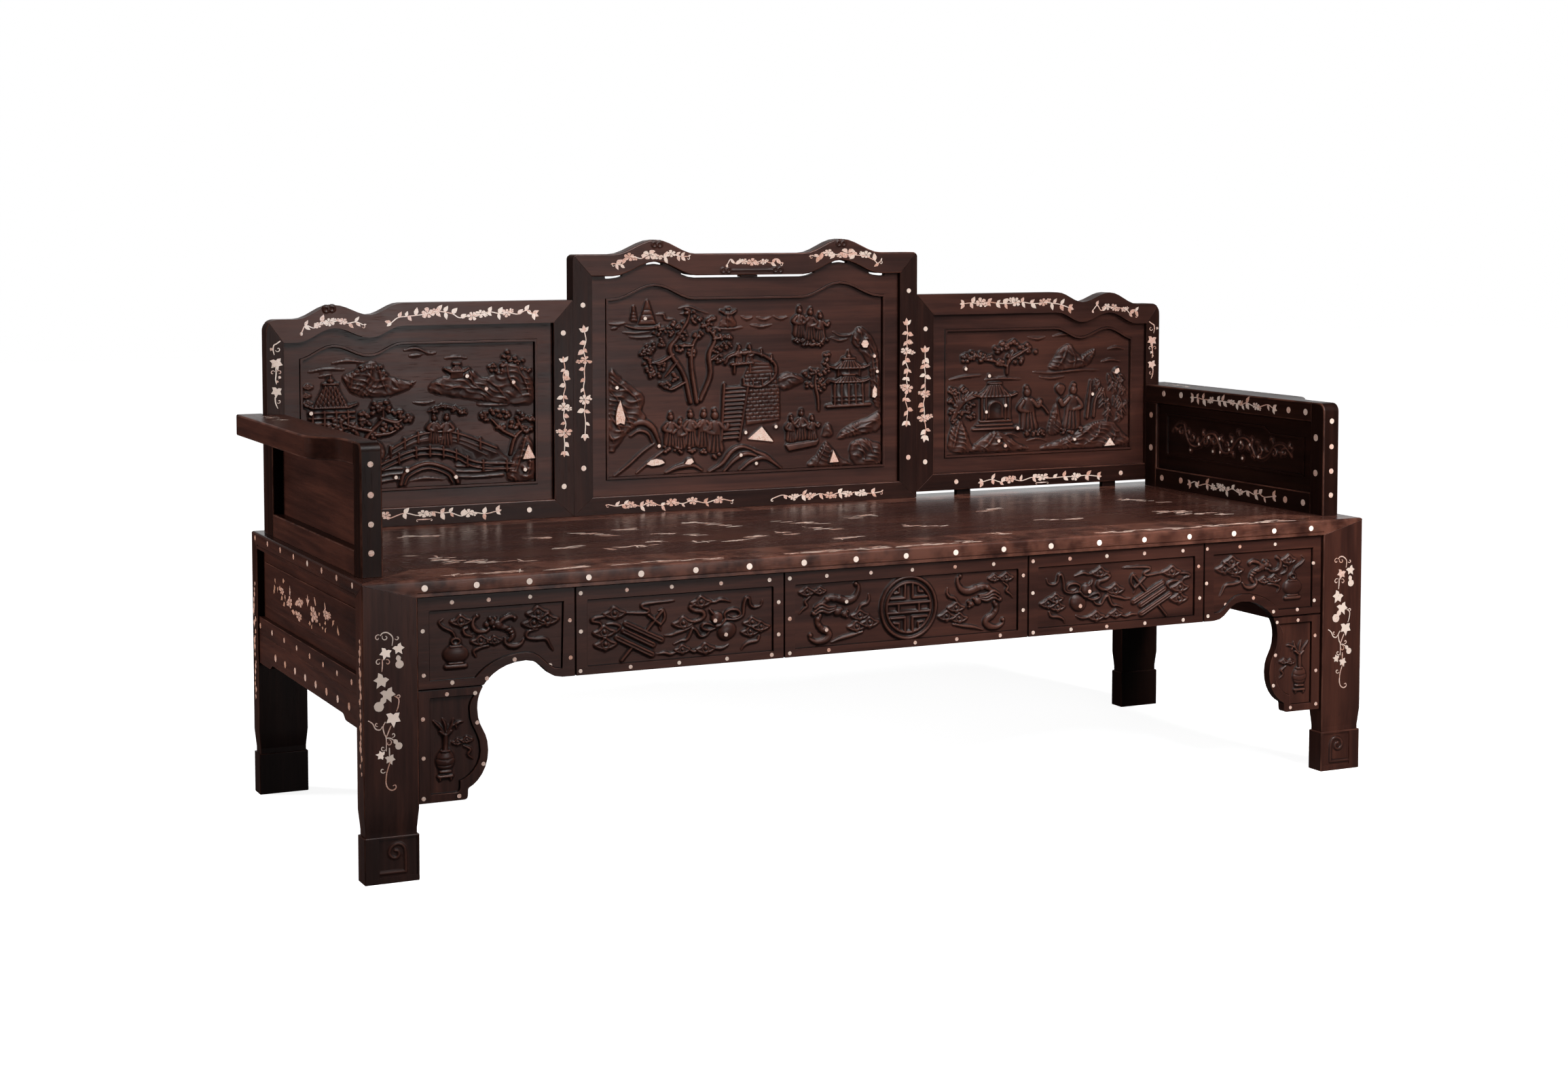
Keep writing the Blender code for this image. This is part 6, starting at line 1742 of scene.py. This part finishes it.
PANEL_CHIPS = {
    "back_left": (((-459, 621), (-470, 594), (-446, 595)),),
    "back_centre": (
        ((-280, 652), (-272, 655), (-264, 652), (-262, 664), (-266, 678), (-272, 698), (-278, 684),
         (-281, 668)),
        ((-217, 573), (-208, 580), (-196, 582), (-184, 579), (-179, 574), (-190, 570), (-206, 569)),
        ((-137, 570), (-131, 578), (-122, 580), (-118, 573), (-126, 568)), ((0, 613), (30, 636), (55, 606)),
        ((178, 559), (186, 583), (198, 560)),
        ((248, 795), (252, 802), (260, 803), (265, 796), (261, 788), (252, 788)),
        ((274, 688), (275, 702), (279, 710), (284, 704), (284, 690), (279, 686))),
    "back_right": (((842, 583), (828, 566), (854, 567)),
                   ((853, 720), (856, 728), (864, 730), (866, 723), (860, 718)))}

# Stage, in metres and degrees

FLOOR_HALF = 14.0
CORNERS = ((-1, -1), (1, -1), (1, 1), (-1, 1))
VIEW_AHEAD, BACKDROP_EDGE = (0.432, 0.902, 0.0), (0.86, 0.98)
SENSOR, CAMERA_SHIFT = 36.0, -0.1074
CAMERA_PLACE = (-2.0383, -4.1053, 1.0571)
CAMERA_TURN = (math.pi / 2 - 0.0646, 0, -0.4468)
LIGHTS = (
    ("key", (0.1, -1.6, 2.8), (-0.3, 0.1, 0.65), (1.8, 1.1), 70),
    ("right", (1.1, -2.1, 1.9), (0.85, -0.36, 0.35), (0.9, 0.9), 60),
    ("left", (-2.9, 1.5, 0.7), (-0.96, 0.0, 0.35), (1.2, 0.5), 60),
    ("arm", (-0.4, -1.5, 1.15), (0.93, 0.0, 0.6), (0.3, 0.3), 22),
    ("sheen", (0.75, -4.4, 0.65), (-0.7, 0.3, 0.8), (1.0, 0.45), 110))


# Operators


class Make(bpy.types.Operator):
    """Base of the bench's operators"""

    bl_idname = "bench.make"
    bl_label = "Make"
    bl_options = {"REGISTER", "UNDO"}

    def execute(self, context):
        self.make(context.scene)
        return {"FINISHED"}

    def make(self, scene):
        raise NotImplementedError(self.bl_idname)


class BENCH_OT_legs(Make):
    """Round the legs and carve the key scroll on the front feet"""

    bl_idname, bl_label = "bench.legs", "Legs"

    def make(self, scene):
        # Painted shade: the left front leg darkens towards the floor
        ease_all(["leg_front_left"], "Z", kind="leg_")
        ease_all(["leg_front_right"], "Z")
        # Painted shade: the rear legs, under the seat, are drawn darker, and darker still towards the floor
        ease_all(both("leg_rear"), "Z", kind="leg_", deep=DEEP)
        foot = Relief(*KEY_SCROLL_FIELD, scene.bench_carving.apron_pitch)
        carve_foot(foot)
        floor = front(LEG_FACE + FOOT_FIELD)
        other = foot.mirrored()
        foot.cut("key_scroll_left", floor, "base")
        other.cut("key_scroll_right", floor, "base")


class BENCH_OT_seat(Make):
    """Round and polish the seat frame, its board and the battens"""

    bl_idname, bl_label = "bench.seat", "Seat"

    def make(self, scene):
        ease_all(["seat_front_rail", "seat_rear_rail"], "X", share=1.2, polished=True, kind="rubbed_",
                 rub=1.0)
        ease_all(["seat_board"], "X", share=1.2, polished=True)
        ease_all(["seat_left_rail", "seat_right_rail"], "Y", share=1.2, polished=True)
        ease_all(["seat_batten_left", "seat_batten_centre", "seat_batten_right"], "Y")


class BENCH_OT_aprons(Make):
    """Round and carve the front apron boards, the brackets and the rear apron"""

    bl_idname, bl_label = "bench.aprons", "Aprons"

    def make(self, scene):
        ease_all(both("apron_outer", "apron_inner") + ["apron_centre"], "X", boards=True, field=1.5)
        ease_all(["rear_apron"], "X", boards=True)
        ease_all(both("bracket"), "Z", boards=True, field=1.5)
        pitch, floor = scene.bench_carving.apron_pitch, front(APRON_FACE + APRON_FIELD)
        for name, low, high, carve in (("outer", (-866, 316), (-636, 430), carve_outer_board),
                                       ("inner", (-598, 317), (-260, 430), carve_inner_board),
                                       ("bracket", (-866, 132), (-780, 282), carve_bracket)):
            relief = Relief(low, high, pitch)
            carve(relief)
            relief.beds(CARVED_APRON_DOTS)
            other = relief.mirrored()
            relief.cut("carving_" + name + "_left", floor, "base", APRON_BOLD)
            other.cut("carving_" + name + "_right", floor, "base", APRON_BOLD)
        relief = Relief((-222, 317), (222, 430), pitch)
        carve_centre_board(relief)
        relief.height = np.maximum(relief.height, relief.height[:, ::-1])
        carve_medallion(relief, *MEDALLION)
        relief.beds(CARVED_APRON_DOTS)
        relief.cut("carving_centre", floor, "base", APRON_BOLD)


class BENCH_OT_sides(Make):
    """Round the side panels, rails and lower aprons"""

    bl_idname, bl_label = "bench.sides", "Sides"

    def make(self, scene):
        ease_all(both("side_panel", "side_rail", "side_apron"), "Y", share=0.6)


class BENCH_OT_backs(Make):
    """Round and carve the three framed backs"""

    bl_idname, bl_label = "bench.backs", "Backs"

    def make(self, scene):
        # The left back's top rail gets a painted sheen: its colour is lightened
        for name, kind in (("back_left", "satin_"), ("back_centre", ""), ("back_right", "")):
            ease_all([name + "_top_rail"], "X", share=1.3, kind=kind)
            ease_all([name + "_bottom_rail"], "X", share=1.3, deep=DEEP)
            ease_all([name + "_left_stile", name + "_right_stile"], "Z", share=1.3, deep=DEEP)
            ease_all([name + "_panel"], "X", share=0.8, field=1.0)
        ease_all(["back_centre_spacer"], "X", share=0.5)
        floor = front(BACK_FACE + BACK_FIELD)
        for body, low, high, carve in (("back_centre", (-298, 549), (298, 918), carve_centre_panel),
                                       ("back_left", (-892, 549), (-444, 818), carve_left_panel),
                                       ("back_right", (444, 560), (892, 818), carve_right_panel)):
            relief = Relief(low, high, scene.bench_carving.back_pitch)
            carve(relief)
            relief.beds(PANEL_DOTS)
            for shape in PANEL_CHIPS[body]:
                relief.level(shape)
            relief.cut("carving_" + body, floor, body, BACK_BOLD)


class BENCH_OT_arms(Make):
    """Round the arms and carve the vine on the inside of their panels"""

    bl_idname, bl_label = "bench.arms", "Arms"

    def make(self, scene):
        # Painted shade: the right arm's rail, panel and armrest are drawn darker for its shaded inside; the
        # posts of both arms are drawn darker too
        for name, deep, rest_deep in (("arm_left_", 0, 0), ("arm_right_", DEEPEST, DEEP)):
            ease_all([name + "front_post", name + "rear_post"], "Z", share=1.6, deep=DEEPEST)
            ease_all([name + "armrest"], "Y", share=1.9, deep=rest_deep)
            ease_all([name + "bottom_rail"], "Y", share=1.3, deep=deep)
            ease_all([name + "panel"], "Y", share=0.8, deep=deep, field=1.0)
        relief = Relief((-226, 552), (233, 632), scene.bench_carving.back_pitch)
        carve_arm(relief)
        relief.beds((-along, up) for along, up in ARM_PANEL_DOTS)
        inner = ARM_FACE - ARM_FIELD
        other = relief.mirrored()
        relief.cut("carving_arm_right", Face((-inner, 0, 0), -Y, Z), "arm_right", BACK_BOLD)
        other.cut("carving_arm_left", Face((inner, 0, 0), Y, Z), "arm_left", BACK_BOLD)


class BENCH_OT_frame_inlay(Make):
    """Set sprays and vines of shell into the frames of the backs and arms"""

    bl_idname, bl_label = "bench.frame_inlay", "Frame inlay"

    def make(self, scene):
        solids = Solids(True)
        face = front(BACK_FACE)
        for seed, (body, sprays) in enumerate(FRAME_SPRAYS.items()):
            inlay = Inlay(FRAME_SEED + seed, solids)
            for path, flowers, formal in sprays:
                spray(inlay, face, path, flowers, 1.0 if path[0][1] > LOW_RAIL else LOW_SPRAY, formal)
            for shape in PANEL_CHIPS[body]:
                middle = np.mean(shape, 0) * MM
                place, _ = solids.drop(Vector((middle[0], BACK_FACE, middle[1])), Y)
                inlay.add(front(place.y), shape, tint=0.6, bedded=True)
            for place in STANDS.get(body, ()):
                stand(inlay, face, *place)
            for across, flip in OUTER_STILES.get(body, ()):
                stile_vine(inlay, face, across, flip)
            inlay.set_in("inlay_" + body, body)
        for body, side, across in (("arm_left", -1, Y), ("arm_right", 1, -Y)):
            inlay = Inlay(ARM_SEED + side, solids)
            face = Face((-side * ARM_FACE, 0, 0), across, Z)
            for path, flowers in ARM_SPRAYS:
                spray(inlay, face, [(side * along, up) for along, up in path],
                      [(side * along, *rest) for along, *rest in flowers], ARM_SPRAY)
            low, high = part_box(body + "_armrest")
            top = Face((0.5 * (low.x + high.x), 0, high.z), X, Y)
            flakes(inlay, top, [(0, 270), (-side * 6, 215), (0, 150)], count=14, spread=7, length=12)
            inlay.set_in("inlay_" + body, body)


class BENCH_OT_knots(Make):
    """Carve the looped cords on the humps and the centre of the backs' top rails"""

    bl_idname, bl_label = "bench.knots", "Knots"

    def make(self, scene):
        face = front(BACK_FACE)
        for name, body, loops, cord in KNOTS:
            places = np.array([*loops, *cord], float)
            low, high = places.min(0) - KNOT_MARGIN, places.max(0) + KNOT_MARGIN
            relief = Relief(low, high, scene.bench_carving.apron_pitch)
            for across, up in loops:
                relief.stroke(ring(across, up, KNOT_RADIUS, 0, 360, 20), CORD_WIDTH, 1.3)
            if cord:
                relief.stroke(cord, CORD_WIDTH, 1.2)
            # The cords are cut dark: painted shade over the whole cord
            relief.cut("carving_" + name, face, body, dark=True)


class BENCH_OT_base_inlay(Make):
    """Set vines into the legs, sprays into the sides and the worn pattern into the seat"""

    bl_idname, bl_label = "bench.base_inlay", "Leg, side and seat inlay"

    def make(self, scene):
        solids = Solids()
        inlay = Inlay(LEG_SEED, solids)
        for shift, rise, tint in LEG_VINES:
            leg_vine(inlay, Face((shift * MM, LEG_FACE, rise * MM), X, Z), tint)
        for side, across in ((-1, -Y), (1, Y)):
            face = Face((side * abs(SIDE_FACE), 0, 0), across, Z)
            for along, up, wide, tall in SIDE_BLOSSOMS:
                flower(inlay, face, side * along, up, wide, tall, tint=0.95)
            for along, up, length, turn in SIDE_LEAVES:
                turn = turn if side > 0 else 180 - turn
                leaf(inlay, face, side * along, up, length, turn, width=0.4, tint=1.0)
            for along, up in SIDE_SCRAPS:
                long, turn = inlay.chance.uniform(8, 14), inlay.chance.uniform(0, 360)
                round_leaf(inlay, face, side * along, up, long, turn, width=0.6, tint=1.6)
            face = Face((side * abs(LEG_SIDE), 0, 0), across, Z)
            for along in LEG_SIDE_COLUMNS:
                for up in LEG_SIDE_LEVELS:
                    long, turn = inlay.chance.uniform(8, 16), 90 + inlay.chance.normal(0, 18)
                    place = side * along + inlay.chance.normal(0, 1.5)
                    round_leaf(inlay, face, place, up, long, turn, width=0.8, tint=1.1)
        inlay.set_in("inlay_legs_and_sides", "base")
        seat = Inlay(SEAT_SEED, solids)
        face = Face((0, 0, SEAT_TOP), X, Y)
        for path, count, spread in SEAT_FLAKES:
            flakes(seat, face, path, round(FLAKE_SHARE * count), spread, FLAKE_LENGTH, SEAT_EDGE)
        seat.set_in("inlay_seat", "base")


class BENCH_OT_dots(Make):
    """Set the round dots of shell, each on the face that carries it"""

    bl_idname, bl_label = "bench.dots", "Dots"

    def make(self, scene):
        pearl = scene.bench_pearl
        dots = Dots()
        apron = LEFT_APRON_DOTS + RIGHT_APRON_DOTS + CENTRE_APRON_DOTS
        for places, depth, width, tint in (
                ([(across, SEAT_DOT_LEVEL) for across in SEAT_DOTS], LEG_FACE, pearl.seat_dot, -0.5),
                (apron, APRON_FACE, pearl.apron_dot, 0.5), (BACK_DOTS, BACK_FACE, pearl.frame_dot, 0.3),
                (PANEL_DOTS, BACK_FACE, pearl.small_dot, 0.25)):
            dots.put([(across, depth / MM, up) for across, up in places], width, Y, tint)
        for side in (-1, 1):
            beside = X * -side
            reach = side * abs(LEG_SIDE) / MM
            for level, along, width in SIDE_DOTS:
                dots.put([(reach, place, level) for place in along], getattr(pearl, width), beside,
                         tint=0.95)
            inside = X * side
            reach = side * abs(ARM_FACE) / MM
            dots.put([(reach, *place) for place in ARM_DOTS], pearl.side_dot, inside, tint=0.7)
            dots.put([(reach, *place) for place in ARM_PANEL_DOTS], pearl.small_dot * 0.75, inside,
                     tint=0.3)
            dots.put([(side * POST_MIDDLE, ARM_FRONT, up) for up in POST_DOTS], pearl.frame_dot, Y,
                     tint=0.5)
        dots.set_in()


class BENCH_OT_stage(Make):
    """Lay the floor, light the bench and set the camera"""

    bl_idname, bl_label = "bench.stage", "Stage"

    def make(self, scene):
        stage = scene.bench_stage
        mesh = bpy.data.meshes.new("floor")
        corners = [(across * FLOOR_HALF, along * FLOOR_HALF, 0) for across, along in CORNERS]
        mesh.from_pydata(corners, [], [(0, 1, 2, 3)])
        piece_of("floor", mesh, floor_finish())
        scene.world = scene.world or bpy.data.worlds.new("studio")
        scene.world.use_nodes = True
        room = Nodes(scene.world.node_tree)
        looking = room.node("ShaderNodeTexCoord", output="Generated")
        ahead = room.node("ShaderNodeVectorMath", {"operation": "DOT_PRODUCT"}, {0: looking, 1: VIEW_AHEAD},
                          "Value")
        seen = room.node("ShaderNodeLightPath", output="Is Camera Ray")
        wall = room.between(ahead, *BACKDROP_EDGE)
        bright = room.node("ShaderNodeMath", {"operation": "MAXIMUM"}, {0: wall, 1: seen})
        strength = stage.room + bright * (stage.backdrop - stage.room)
        room.feed(scene.world.node_tree.nodes["Background"], {"Color": WHITE, "Strength": strength})
        scene.view_settings.view_transform = "Standard"
        for name, place, target, size, spread in LIGHTS:
            light = bpy.data.lights.new(name, "AREA")
            light.shape, light.size, light.size_y = "RECTANGLE", *size
            light.energy, light.spread = getattr(stage, name + "_power"), math.radians(spread)
            lamp = bpy.data.objects.new(name, light)
            scene.collection.objects.link(lamp)
            lamp.location, lamp.visible_glossy = place, name != "left"
            lamp.rotation_euler = (Vector(target) - Vector(place)).to_track_quat("-Z", "Y").to_euler()
        lens = bpy.data.cameras.new("view")
        lens.sensor_width, lens.lens, lens.shift_y = SENSOR, stage.lens, CAMERA_SHIFT
        lens.dof.use_dof = False
        camera = bpy.data.objects.new("view", lens)
        scene.collection.objects.link(camera)
        camera.location, camera.rotation_euler = CAMERA_PLACE, CAMERA_TURN
        scene.camera = camera


class BENCH_PT_panel(bpy.types.Panel):
    """Settings and steps of the bench"""

    bl_idname, bl_label = "BENCH_PT_panel", "Inlaid bench"
    bl_space_type, bl_region_type, bl_category = "VIEW_3D", "UI", "Bench"

    def draw(self, context):
        for group in GROUPS:
            settings = getattr(context.scene, group)
            for name in settings.__annotations__:
                self.layout.prop(settings, name)
        for step in STEPS:
            self.layout.operator(step.bl_idname)


GROUPS = {"bench_wood": WoodSettings, "bench_carving": CarvingSettings, "bench_pearl": PearlSettings,
          "bench_stage": StageSettings}
STEPS = (BENCH_OT_legs, BENCH_OT_seat, BENCH_OT_aprons, BENCH_OT_sides, BENCH_OT_backs, BENCH_OT_arms,
         BENCH_OT_knots, BENCH_OT_frame_inlay, BENCH_OT_base_inlay, BENCH_OT_dots, BENCH_OT_stage)


def register():
    for kind in (*GROUPS.values(), *STEPS, BENCH_PT_panel):
        bpy.utils.register_class(kind)
    for name, kind in GROUPS.items():
        setattr(bpy.types.Scene, name, bpy.props.PointerProperty(type=kind))


def unregister():
    for name in GROUPS:
        delattr(bpy.types.Scene, name)
    for kind in reversed((*GROUPS.values(), *STEPS, BENCH_PT_panel)):
        bpy.utils.unregister_class(kind)


def main():
    register()
    for step in STEPS:
        group, name = step.bl_idname.split(".")
        getattr(getattr(bpy.ops, group), name)()


if __name__ == "__main__":
    main()
